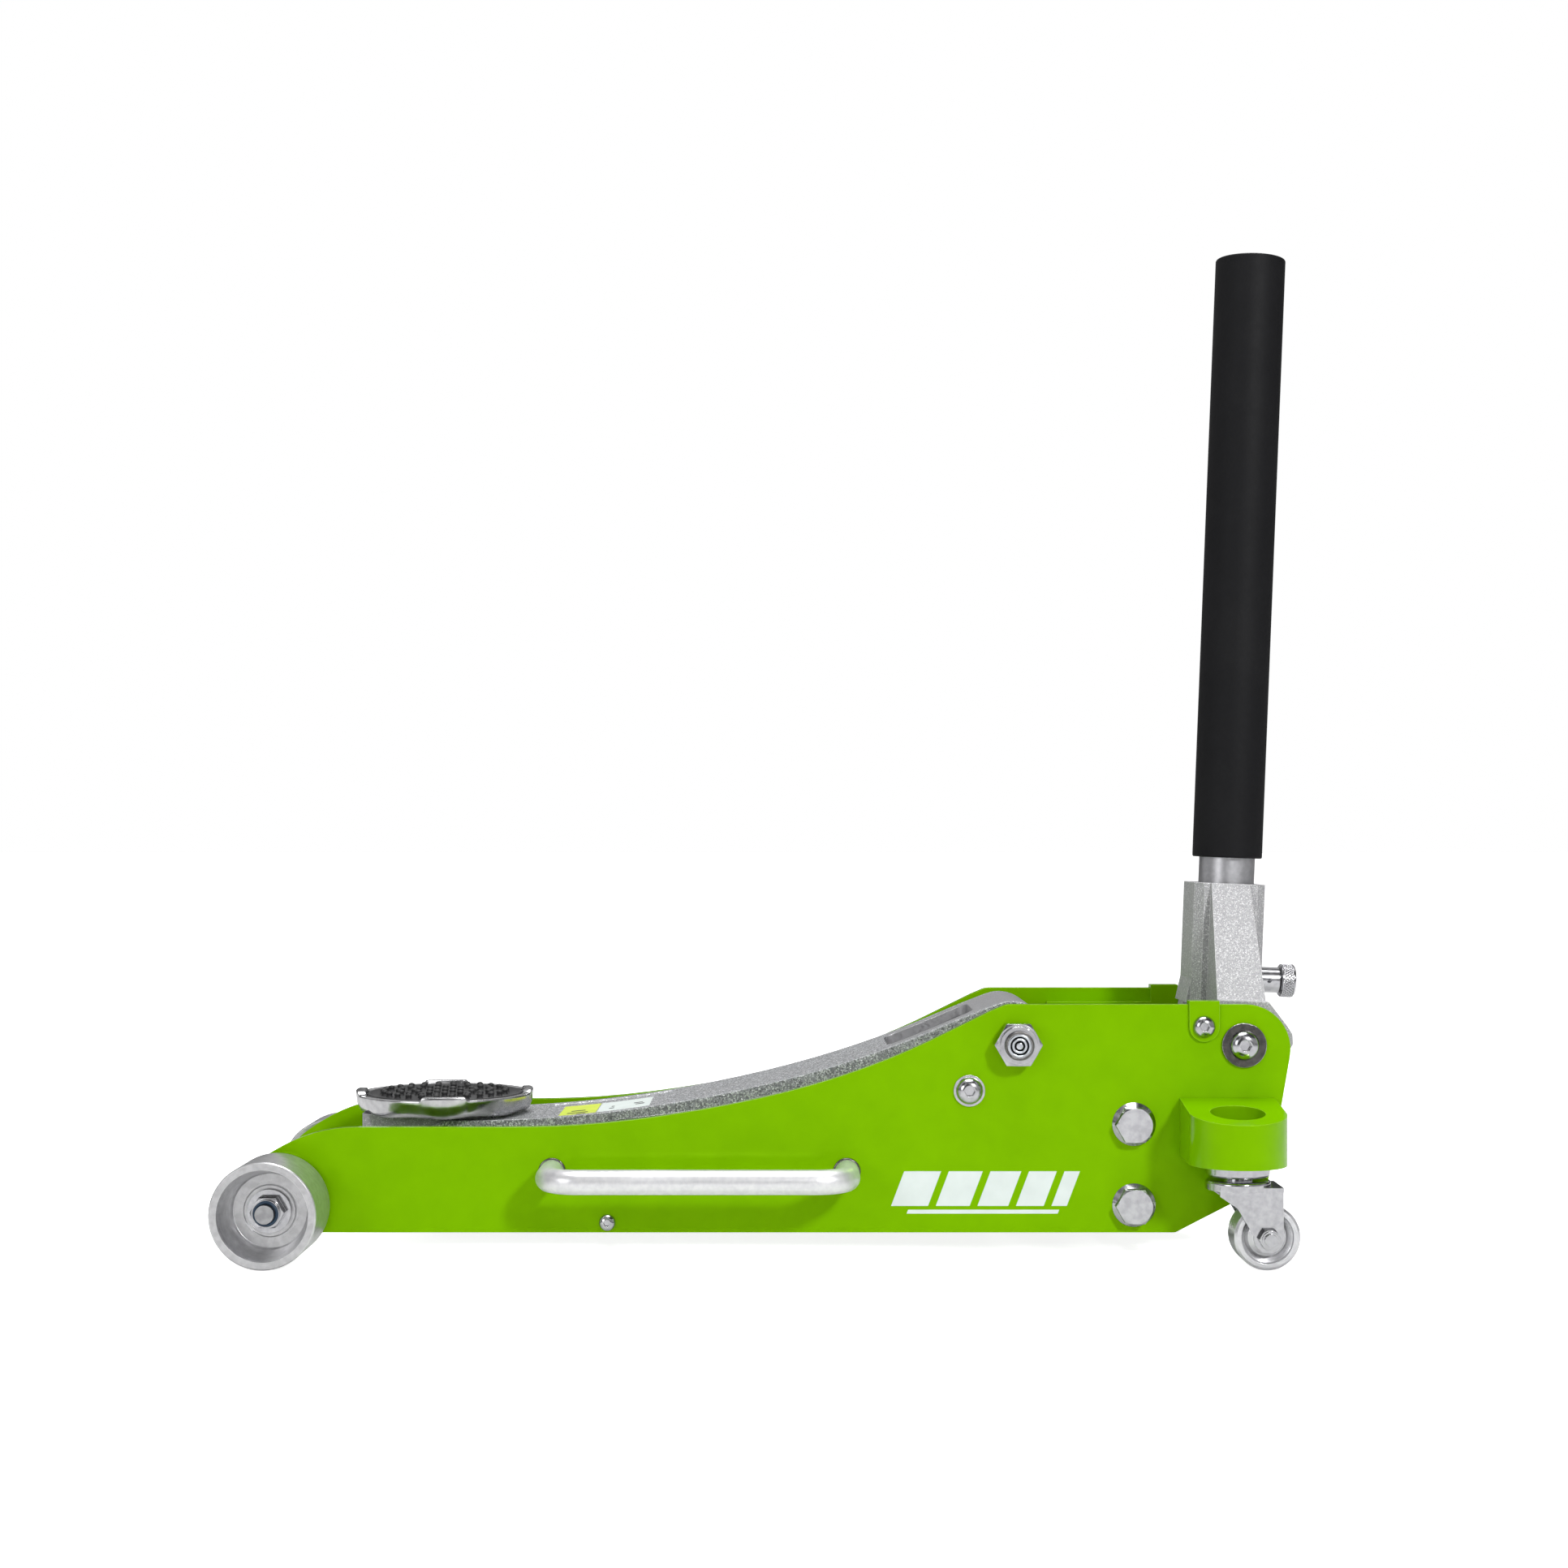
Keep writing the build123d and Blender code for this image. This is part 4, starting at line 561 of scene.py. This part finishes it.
# a round wire along a row of points, capped at both ends
def sweepWire(mesh, points, radius, sides):
    last = len(points) - 1
    rings = []
    up = Vector((0.13, 0.21, 1.0)).normalized()
    for index, point in enumerate(points):
        before = points[index - 1] if index else point
        after = points[index + 1] if index < last else point
        along = (after - before).normalized()
        across = along.cross(up).normalized()
        up = across.cross(along).normalized()
        ring = []
        for step in range(sides):
            angle = 2 * math.pi * step / sides
            ring.append(mesh.verts.new(point + radius * (math.cos(angle) * across + math.sin(angle) * up)))
        rings.append(ring)
    mesh.faces.new(rings[0])
    mesh.faces.new(rings[-1][::-1])
    for low, high in zip(rings, rings[1:]):
        for step in range(sides):
            after = (step + 1) % sides
            mesh.faces.new((low[step], low[after], high[after], high[step]))


# a closed ring of round wire, standing across the given direction
def addRing(mesh, centre, direction, radius, wire, segments=48, sides=8):
    place = standing(centre, direction)
    normal = Vector(direction).normalized()
    rings = []
    for step in range(segments):
        angle = 2 * math.pi * step / segments
        point = place @ Vector((radius * math.cos(angle), radius * math.sin(angle), 0))
        outward = (point - Vector(centre)).normalized()
        ring = []
        for side in range(sides):
            turn = 2 * math.pi * side / sides
            ring.append(mesh.verts.new(point + wire * (math.cos(turn) * outward + math.sin(turn) * normal)))
        rings.append(ring)
    for low, high in zip(rings, rings[1:] + rings[:1]):
        for side in range(sides):
            after = (side + 1) % sides
            mesh.faces.new((low[side], low[after], high[after], high[side]))


# a thin flat plate with a given outline in a frame's first two axes
def addSheet(mesh, outline, place, thick):
    low = [mesh.verts.new(place @ Vector((x, y, 0))) for x, y in outline]
    high = [mesh.verts.new(place @ Vector((x, y, thick))) for x, y in outline]
    mesh.faces.new(low[::-1])
    mesh.faces.new(high)
    for index in range(len(outline)):
        after = (index + 1) % len(outline)
        mesh.faces.new((low[index], low[after], high[after], high[index]))


def middleOf(nodeName):
    low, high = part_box(nodeName)
    return (low + high) / 2


# saddle: a polished dish with four lugs, a wavy underside and a studded rubber pad
saddleLook = {
    "turn": math.radians(7.3), "lugRise": 0.0024, "lugHalf": math.radians(15.4), "lugEase": math.radians(2.2),
    "lugOut": 0.0006, "waveCount": 8, "waveDeep": 0.0011, "waveOut": 0.0007, "segments": 288, "studRings": 4,
    "studPitch": 0.0104, "studHigh": 0.0038, "studSides": 12,
}
dishLow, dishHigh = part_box("saddle")
padLow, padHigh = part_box("saddle_pad")
saddleAt = (dishLow + dishHigh) / 2
dishRadius = (dishHigh.x - dishLow.x) / 2
rimLevel = dishHigh.z - saddleLook["lugRise"]
seatLevel = padLow.z
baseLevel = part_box("saddle_block")[1].z + 0.0003
# rows of radius, height, share of the lug's rise, share of the wave's drop and of its bulge
dishRows = (
    (0, dishLow.z, 0, 0, 0), (0.0118, dishLow.z, 0, 0, 0), (0.0125, dishLow.z + 0.0008, 0, 0, 0),
    (0.0125, baseLevel, 0, 0, 0), (0.0400, baseLevel, 0, 0, 0), (0.0480, baseLevel + 0.0002, 0, 0, 0),
    (0.0530, baseLevel + 0.0002, 0, 0, 0), (0.0540, baseLevel - 0.0002, 0, 1, 0.3),
    (0.0558, baseLevel, 0, 1, 1), (0.0573, baseLevel + 0.0014, 0, 1, 1),
    (0.0583, baseLevel + 0.0034, 0, 0.6, 1), (0.0588, baseLevel + 0.0056, 0, 0.2, 0.6),
    (0.0591, baseLevel + 0.0080, 0, 0, 0), (dishRadius, rimLevel - 0.0012, 0.7, 0, 0),
    (dishRadius, rimLevel - 0.0008, 1, 0, 0), (dishRadius - 0.0003, rimLevel - 0.0002, 1, 0, 0),
    (dishRadius - 0.0011, rimLevel, 1, 0, 0), (dishRadius - 0.0042, rimLevel, 1, 0, 0),
    (dishRadius - 0.0050, rimLevel - 0.0003, 1, 0, 0), (dishRadius - 0.0054, rimLevel - 0.0010, 0.8, 0, 0),
    (dishRadius - 0.0058, seatLevel + 0.0002, 0, 0, 0), (dishRadius - 0.0064, seatLevel, 0, 0, 0),
    (0, seatLevel, 0, 0, 0),
)


def lugShare(angle):
    apart = abs((angle + math.pi / 4) % (math.pi / 2) - math.pi / 4)
    share = min(max((saddleLook["lugHalf"] - apart) / saddleLook["lugEase"], 0.0), 1.0)
    return math.sin(share * math.pi / 2)


def dishShape(angle, row):
    rise, drop, bulge = dishRows[row][2:]
    wave = 0.5 + 0.5 * math.cos(saddleLook["waveCount"] * angle)
    outward = -saddleLook["waveOut"] * bulge * (1 - wave)
    lug = lugShare(angle)
    outward += saddleLook["lugOut"] * lug * (1 if 11 <= row <= 15 else 0)
    return outward, saddleLook["lugRise"] * rise * lug - saddleLook["waveDeep"] * drop * wave


saddlePlace = standing((saddleAt.x, saddleAt.y, 0), (0, 0, 1), saddleLook["turn"])
dishMesh = bmesh.new()
revolveRows(dishMesh, [row[:2] for row in dishRows], saddleLook["segments"], saddlePlace, dishShape)
saddleDish = finishPiece("saddleDish", dishMesh, "dishChrome", "saddle_top")
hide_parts("saddle")

padRadius = (padHigh.x - padLow.x) / 2
studHigh = saddleLook["studHigh"]
padTop = padHigh.z - studHigh
padMesh = bmesh.new()
padRows = (
    (0, seatLevel + 0.0001), (padRadius - 0.0008, seatLevel + 0.0001), (padRadius, seatLevel + 0.0009),
    (padRadius, padTop + 0.0006), (padRadius - 0.0005, padTop + 0.0011),
    (padRadius - 0.0014, padTop + 0.0009), (padRadius - 0.0022, padTop), (0, padTop),
)
revolveRows(padMesh, padRows, 144, saddlePlace)
studRows = (
    (0.0026, -0.0003), (0.0021, 0.0005), (0.0019, 0.0014), (0.0022, 0.0022), (0.0022, 0.0029),
    (0.0016, 0.0035), (0.0007, studHigh), (0, studHigh)
)
for ring in range(saddleLook["studRings"] + 1):
    count = 6 * ring + (2 if ring > 3 else 0) or 1
    for stud in range(count):
        angle = 2 * math.pi * stud / count
        out = ring * saddleLook["studPitch"]
        centre = saddlePlace @ Vector((out * math.cos(angle), out * math.sin(angle), padTop))
        revolveRows(padMesh, studRows, saddleLook["studSides"], Matrix.Translation(centre))
saddlePad = finishPiece("saddlePad", padMesh, "padRubber", "saddle_top", 60)
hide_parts("saddle_pad")
print("saddle ready")

# coil springs: the ram's return springs and the pump springs
springLook = {
    "returnWire": 0.0006, "returnTurns": 34, "pumpWire": 0.00085, "pumpTurns": 7, "pumpSide": 0.015,
    "pumpRadius": 0.0086
}


def addCoil(mesh, start, end, radius, wire, turns, steps=14):
    along = Vector(end) - Vector(start)
    place = standing(start, along)
    length = along.length - 2 * wire
    points = []
    for step in range(turns * steps + 1):
        angle = 2 * math.pi * step / steps
        share = step / (turns * steps)
        rise = wire + length * share
        points.append(
            place @ Vector(((radius - wire) * math.cos(angle), (radius - wire) * math.sin(angle), rise))
        )
    sweepWire(mesh, points, wire, 6)


coilLow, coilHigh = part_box("return_springs")
coilRadius = (coilHigh.z - coilLow.z) / 2
coilMesh = bmesh.new()
for side in (-1, 1):
    sideY = side * (coilHigh.y - coilRadius)
    middleZ = (coilHigh.z + coilLow.z) / 2
    addCoil(
        coilMesh, (coilHigh.x, sideY, middleZ), (coilLow.x, sideY, middleZ), coilRadius,
        springLook["returnWire"], springLook["returnTurns"]
    )
returnCoils = finishPiece("returnCoils", coilMesh, "springSteel", None, 60)
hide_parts("return_springs")
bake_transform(returnCoils)

joints = {joint["name"]: joint for joint in frame["record"]["behaviour"]["joints"]}
pumpAxis = Vector(joints["pump_slide"]["axis"]).normalized()
pumpLow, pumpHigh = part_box("pump_springs")
pumpMiddle = (pumpLow + pumpHigh) / 2
pumpTilt = abs(pumpAxis.x)
pumpLength = (pumpHigh.z - pumpLow.z - 2 * springLook["pumpRadius"] * pumpTilt) / abs(pumpAxis.z)
pumpMesh = bmesh.new()
for side in (-1, 1):
    centre = Vector((pumpMiddle.x, side * springLook["pumpSide"], pumpMiddle.z))
    addCoil(
        pumpMesh, centre + pumpAxis * pumpLength / 2, centre - pumpAxis * pumpLength / 2,
        springLook["pumpRadius"], springLook["pumpWire"], springLook["pumpTurns"],
    )
pumpCoils = finishPiece("pumpCoils", pumpMesh, "springSteel", "chassis", 60)
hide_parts("pump_springs")
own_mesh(pumpCoils)
print("springs ready")

# plain decals: slanted bars on the side plates, two blank labels on the arm
decalLook = {
    "low": 0.0330, "high": 0.0555, "left": 0.0760, "lean": 0.38, "thick": 0.00006,
    "bars": ((0.0, 0.024), (0.029, 0.022), (0.056, 0.020), (0.081, 0.018), (0.104, 0.010)),
    "stripeLow": 0.0280, "stripeHigh": 0.0306, "stripeLong": 0.098, "stripeShift": 0.012,
    "labelNear": -0.0365, "labelFar": 0.022, "yellowSpan": (-0.1450, -0.1200),
    "whiteSpan": (-0.1194, -0.0840), "markWide": 0.004,
    "marks": (
        (-0.1400, -0.1260, -0.024), (-0.1380, -0.1285, -0.013), (-0.1330, -0.1270, -0.032),
        (-0.1120, -0.1085, -0.018), (-0.1110, -0.1090, -0.008), (-0.0945, -0.0885, -0.012),
        (-0.0960, -0.0900, -0.004),
    ),
}
lean = decalLook["lean"]
for side, plate in ((-1, "side_plate_left"), (1, "side_plate_right")):
    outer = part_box(plate)[0 if side < 0 else 1].y
    place = Matrix.Translation((0, outer, 0)) @ Matrix(
        ((1, 0, 0, 0), (0, 0, side, 0), (0, 1, 0, 0), (0, 0, 0, 1))
    )
    barMesh = bmesh.new()
    low, high = decalLook["low"], decalLook["high"]
    for start, width in decalLook["bars"]:
        foot = decalLook["left"] + start
        head = foot + lean * (high - low)
        addSheet(
            barMesh, ((foot, low), (foot + width, low), (head + width, high), (head, high)), place,
            decalLook["thick"]
        )
    low, high = decalLook["stripeLow"], decalLook["stripeHigh"]
    foot = decalLook["left"] - lean * (decalLook["low"] - low) + decalLook["stripeShift"]
    head = foot + lean * (high - low)
    long = decalLook["stripeLong"]
    addSheet(
        barMesh, ((foot, low), (foot + long, low), (head + long, high), (head, high)), place,
        decalLook["thick"]
    )
    finishPiece(
        "plateDecal" + ("Left" if side < 0 else "Right"), barMesh, "decalWhite", "chassis"
    )

# the labels follow the arm's sunk panel, found by looking down at it
def surfaceOf(nodeName):
    data = nodes[nodeName].data
    return BVHTree.FromPolygons(
        [vertex.co for vertex in data.vertices], [tuple(face.vertices) for face in data.polygons]
    )


armSurface = surfaceOf("lift_arm")


def addDraped(mesh, xSpan, ySpan, lift, xSteps=12, ySteps=6):
    grid = []
    for across in range(xSteps + 1):
        row = []
        for along in range(ySteps + 1):
            x = xSpan[0] + (xSpan[1] - xSpan[0]) * across / xSteps
            y = ySpan[0] + (ySpan[1] - ySpan[0]) * along / ySteps
            hit = armSurface.ray_cast(Vector((x, y, 0.4)), Vector((0, 0, -1)))[0]
            row.append(mesh.verts.new(hit + Vector((0, 0, lift))))
        grid.append(row)
    for low, high in zip(grid, grid[1:]):
        for along in range(ySteps):
            mesh.faces.new((low[along], high[along], high[along + 1], low[along + 1]))


labelSpan = (decalLook["labelNear"], decalLook["labelFar"])
for name, finish, span in (
    ("labelYellow", "decalYellow", "yellowSpan"), ("labelWhite", "decalWhite", "whiteSpan")
):
    labelMesh = bmesh.new()
    addDraped(labelMesh, decalLook[span], labelSpan, decalLook["thick"])
    finishPiece(name, labelMesh, finish, "arm")
# blank bars where a label would have its lines of print
markMesh = bmesh.new()
for start, end, place in decalLook["marks"]:
    addDraped(markMesh, (start, end), (place, place + decalLook["markWide"]), decalLook["thick"] * 2, 4, 1)
finishPiece("labelMarks", markMesh, "padRubber", "arm")
print("decals ready")

# small parts: nylon rings, dark rings of painted shade at the carrying handles' holes, a painted highlight
# along the arm's lower lip
smallLook = {
    "lipLine": ((-0.1046, 0.0838), (-0.0787, 0.0868), (-0.0485, 0.0910), (-0.0182, 0.0968), (0.0077, 0.1032)),
    "knobHalf": 0.005, "pinRadius": 0.004, "knurls": 36, "knurlDeep": 0.00028, "knurlPitch": 0.0026,
    "knurlRows": 26, "nylonRadius": 0.0072, "nylonWire": 0.0011, "holeWire": 0.0008, "lipWire": 0.0006,
    "gapRadius": 0.0086, "gapWire": 0.0008, "gapLift": 0.0003, "holeEase": 0.0003,
}
nutLow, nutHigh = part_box("front_wheel_nuts")
nylonMesh = bmesh.new()
for level in (nutLow.y, nutHigh.y):
    addRing(
        nylonMesh, (middleOf("front_axle").x, level, middleOf("front_axle").z), (0, 1, 0),
        smallLook["nylonRadius"], smallLook["nylonWire"]
    )
finishPiece("nylonRings", nylonMesh, "nylonBlue", "chassis", 60)

# dark rings round the carrying handles where they pass the plates: painted shade for the shaded gap in the
# holes
for side, nodeName, plate in (
    (-1, "carry_handle_left", "side_plate_left"), (1, "carry_handle_right", "side_plate_right")
):
    barLow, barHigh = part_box(nodeName)
    barRadius = (barHigh.z - barLow.z) / 2
    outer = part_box(plate)[0 if side < 0 else 1].y
    rimMesh = bmesh.new()
    for x in (barLow.x + barRadius, barHigh.x - barRadius):
        addRing(
            rimMesh, (x, outer, (barLow.z + barHigh.z) / 2), (0, 1, 0), barRadius + smallLook["holeEase"],
            smallLook["holeWire"]
        )
    finishPiece(
        "holeShadeRim" + ("Left" if side < 0 else "Right"), rimMesh, "darkNickelAndShade", "chassis", 60
    )
# a chrome wire along the lower lip of the arm's side walls: a painted highlight for the bright line there
lipMesh = bmesh.new()
for side in (-1, 1):
    points = []
    for x, z in smallLook["lipLine"]:
        hit = armSurface.ray_cast(Vector((x, side * 0.2, z)), Vector((0, -side, 0)))[0]
        points.append(hit)
    sweepWire(lipMesh, points, smallLook["lipWire"], 8)
finishPiece("armLipHighlight", lipMesh, "chromeAndHighlight", "arm", 60)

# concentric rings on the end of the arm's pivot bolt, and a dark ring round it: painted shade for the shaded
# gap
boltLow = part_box("arm_pivot_bolt")[0]
boltMiddle = middleOf("arm_pivot_nut")
endPlace = standing((boltMiddle.x, boltLow.y, boltMiddle.z), (0, -1, 0))
endRows = (
    (0, 0.0003), (0.0018, 0.0003), (0.0022, 0), (0.0034, 0), (0.0037, 0.0003), (0.0046, 0.0003), (0.0049, 0),
    (0.0060, 0), (0.0063, 0.0003), (0.0072, 0.0003), (0.0080, -0.0003), (0.0080, -0.0010),
)
endMesh = bmesh.new()
revolveRows(endMesh, endRows, 64, endPlace)
finishPiece("pivotBoltEnd", endMesh, "boltEnd", "chassis")
# a dark ring laid in the gap round the bolt end, as painted shade
gapMesh = bmesh.new()
gapCentre = (boltMiddle.x, boltLow.y + smallLook["gapLift"], boltMiddle.z)
addRing(gapMesh, gapCentre, (0, 1, 0), smallLook["gapRadius"], smallLook["gapWire"])
finishPiece("pivotBoltShadeGap", gapMesh, "darkNickelAndShade", "chassis", 60)

# the lock's knob: a pin with a diamond-knurled head
lockAxis = Vector(joints["lock_pull"]["axis"]).normalized()
knobLow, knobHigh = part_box("lock_knob")
knobRadius = (knobHigh.y - knobLow.y) / 2
knobHalf = smallLook["knobHalf"]
knobMiddle = Vector(
    (knobHigh.x - knobHalf * lockAxis.x - knobRadius * abs(lockAxis.z), 0, (knobLow.z + knobHigh.z) / 2)
)
pinLong = (knobHigh.x - knobLow.x) / lockAxis.x - 2 * knobHalf
pinRadius = smallLook["pinRadius"]
knobRows = [
    (0, -knobHalf - pinLong), (pinRadius, -knobHalf - pinLong), (pinRadius, -knobHalf),
    (knobRadius - 0.0012, -knobHalf)
]
knobRows += [(knobRadius - 0.0002, -knobHalf + 0.0009), (knobRadius - 0.0002, -knobHalf + 0.0015)]
firstKnurl = len(knobRows)
for row in range(smallLook["knurlRows"] + 1):
    knobRows.append((knobRadius, -knobHalf + 0.0016 + (2 * knobHalf - 0.0032) * row / smallLook["knurlRows"]))
lastKnurl = len(knobRows) - 1
knobRows += [
    (knobRadius - 0.0002, knobHalf - 0.0015), (knobRadius - 0.0002, knobHalf - 0.0009),
    (knobRadius - 0.0012, knobHalf), (0, knobHalf)
]


def knurlShape(angle, row):
    if not firstKnurl <= row <= lastKnurl:
        return 0.0, 0.0
    lead = 2 * math.pi * knobRows[row][1] / smallLook["knurlPitch"]
    ridge = max(math.cos(smallLook["knurls"] * angle + lead), math.cos(smallLook["knurls"] * angle - lead))
    return -smallLook["knurlDeep"] * (1 + ridge), 0.0


knobMesh = bmesh.new()
revolveRows(knobMesh, knobRows, 288, standing(knobMiddle, lockAxis), knurlShape)
lockKnob = finishPiece("lockKnob", knobMesh, "zincPlate", "lock", 40)
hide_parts("lock_knob")
print("small parts ready")

# studio: pale floor, soft light, and a level camera on the left-hand side
studio = {
    "cameraAt": (0.00875, -1.615, 0.275), "lens": 54.17, "shift": (-0.0021, 0.0311),
    "keyAt": (1.20, -2.15, 1.40), "keySize": 0.32, "keyPower": 40.0, "fillAt": (-1.6, -1.9, 0.8),
    "fillSize": 1.2, "fillPower": 12.0, "topAt": (0.1, 0.0, 2.2), "topSize": 1.4, "topPower": 44.0,
    "floorGlow": 0.85, "floorDim": (0.72, 0.72, 0.72, 1), "skyLow": 0.38, "skyHigh": 0.50, "skyLeft": 1.10,
    "skyRight": 0.85, "skyFront": 0.85, "mirrorLow": 0.15, "mirrorHigh": 1.30, "mirrorScale": 1.9,
}
scene.view_settings.view_transform = "Standard"
camera = bpy.data.objects.new("camera", bpy.data.cameras.new("camera"))
scene.collection.objects.link(camera)
camera.location = studio["cameraAt"]
camera.rotation_euler = (math.radians(90), 0, 0)
camera.data.lens = studio["lens"]
camera.data.sensor_width = 36.0
camera.data.shift_x, camera.data.shift_y = studio["shift"]
camera.data.clip_start, camera.data.clip_end = 0.05, 100.0
scene.camera = camera


def softLight(name, place, aim, size, power):
    lamp = bpy.data.objects.new(name, bpy.data.lights.new(name, "AREA"))
    scene.collection.objects.link(lamp)
    lamp.data.shape = "DISK"
    lamp.data.size = size
    lamp.data.energy = power
    lamp.location = place
    lamp.rotation_euler = (Vector(place) - Vector(aim)).to_track_quat("Z", "Y").to_euler()


softLight("keyLight", studio["keyAt"], (0, 0, 0.15), studio["keySize"], studio["keyPower"])
softLight("fillLight", studio["fillAt"], (-0.1, 0, 0.1), studio["fillSize"], studio["fillPower"])
softLight("topLight", studio["topAt"], (0, 0, 0.1), studio["topSize"], studio["topPower"])

world = bpy.data.worlds.new("studio")
scene.world = world
world.use_nodes = True
sky = world.node_tree
sky.nodes.clear()
ray = addNode(sky, "ShaderNodeLightPath")
where = addNode(sky, "ShaderNodeTexCoord")
apart = addNode(sky, "ShaderNodeSeparateXYZ")
sky.links.new(where.outputs["Generated"], apart.inputs[0])
rise = spread(sky, apart.outputs[2], -0.05, 0.75, studio["skyLow"], studio["skyHigh"], smooth=True)
side = spread(sky, apart.outputs[0], -0.9, 0.9, studio["skyLeft"], studio["skyRight"], smooth=True)
depth = spread(sky, apart.outputs[1], -0.85, 0.1, studio["skyFront"], 1.0, smooth=True)
tone = calc(sky, "MULTIPLY", calc(sky, "MULTIPLY", rise, side), depth)
# polished metal mirrors a patchy room, while matt surfaces get even light
room = addNode(sky, "ShaderNodeTexNoise", Scale=studio["mirrorScale"], Detail=1.0)
sky.links.new(where.outputs["Generated"], room.inputs["Vector"])
patches = spread(sky, room.outputs["Fac"], 0.46, 0.56, studio["mirrorLow"], studio["mirrorHigh"], smooth=True)
mirrored = calc(
    sky, "ADD", 1.0, calc(sky, "MULTIPLY", ray.outputs["Is Glossy Ray"], calc(sky, "SUBTRACT", patches, 1.0))
)
tone = calc(sky, "MULTIPLY", tone, mirrored)
around = addNode(sky, "ShaderNodeBackground")
sky.links.new(tone, around.inputs["Strength"])
behind = addNode(sky, "ShaderNodeBackground", Strength=1.0)
behind.inputs["Color"].default_value = (1, 1, 1, 1)
around.inputs["Color"].default_value = (1, 1, 1, 1)
pick = addNode(sky, "ShaderNodeMixShader")
sky.links.new(ray.outputs["Is Camera Ray"], pick.inputs[0])
sky.links.new(around.outputs[0], pick.inputs[1])
sky.links.new(behind.outputs[0], pick.inputs[2])
skyOut = addNode(sky, "ShaderNodeOutputWorld")
sky.links.new(pick.outputs[0], skyOut.inputs[0])

floorMesh = bpy.data.meshes.new("floor")
floorMesh.from_pydata([(-30, -30, 0), (30, -30, 0), (30, 30, 0), (-30, 30, 0)], [], [(0, 1, 2, 3)])
floor = bpy.data.objects.new("floor", floorMesh)
scene.collection.objects.link(floor)
floor.location.z = -0.0004
floorPaper, floorTree, floorShader = startMaterial("floorPaper")
floorShader.inputs["Base Color"].default_value = (0.90, 0.90, 0.90, 1)
floorShader.inputs["Roughness"].default_value = 0.75
floorShader.inputs["Emission Color"].default_value = (1, 1, 1, 1)
floorShader.inputs["Emission Strength"].default_value = studio["floorGlow"]
# the floor is bright to the camera only, so that the jack doesn't mirror a white sheet
floorRay = addNode(floorTree, "ShaderNodeLightPath")
floorDim = addNode(floorTree, "ShaderNodeBsdfDiffuse", Color=studio["floorDim"])
floorPick = addNode(floorTree, "ShaderNodeMixShader")
floorTree.links.new(floorRay.outputs["Is Camera Ray"], floorPick.inputs[0])
floorTree.links.new(floorDim.outputs[0], floorPick.inputs[1])
floorTree.links.new(floorShader.outputs[0], floorPick.inputs[2])
floorTree.links.new(floorPick.outputs[0], floorTree.nodes["Material Output"].inputs["Surface"])
floorMesh.materials.append(floorPaper)
print("studio ready")
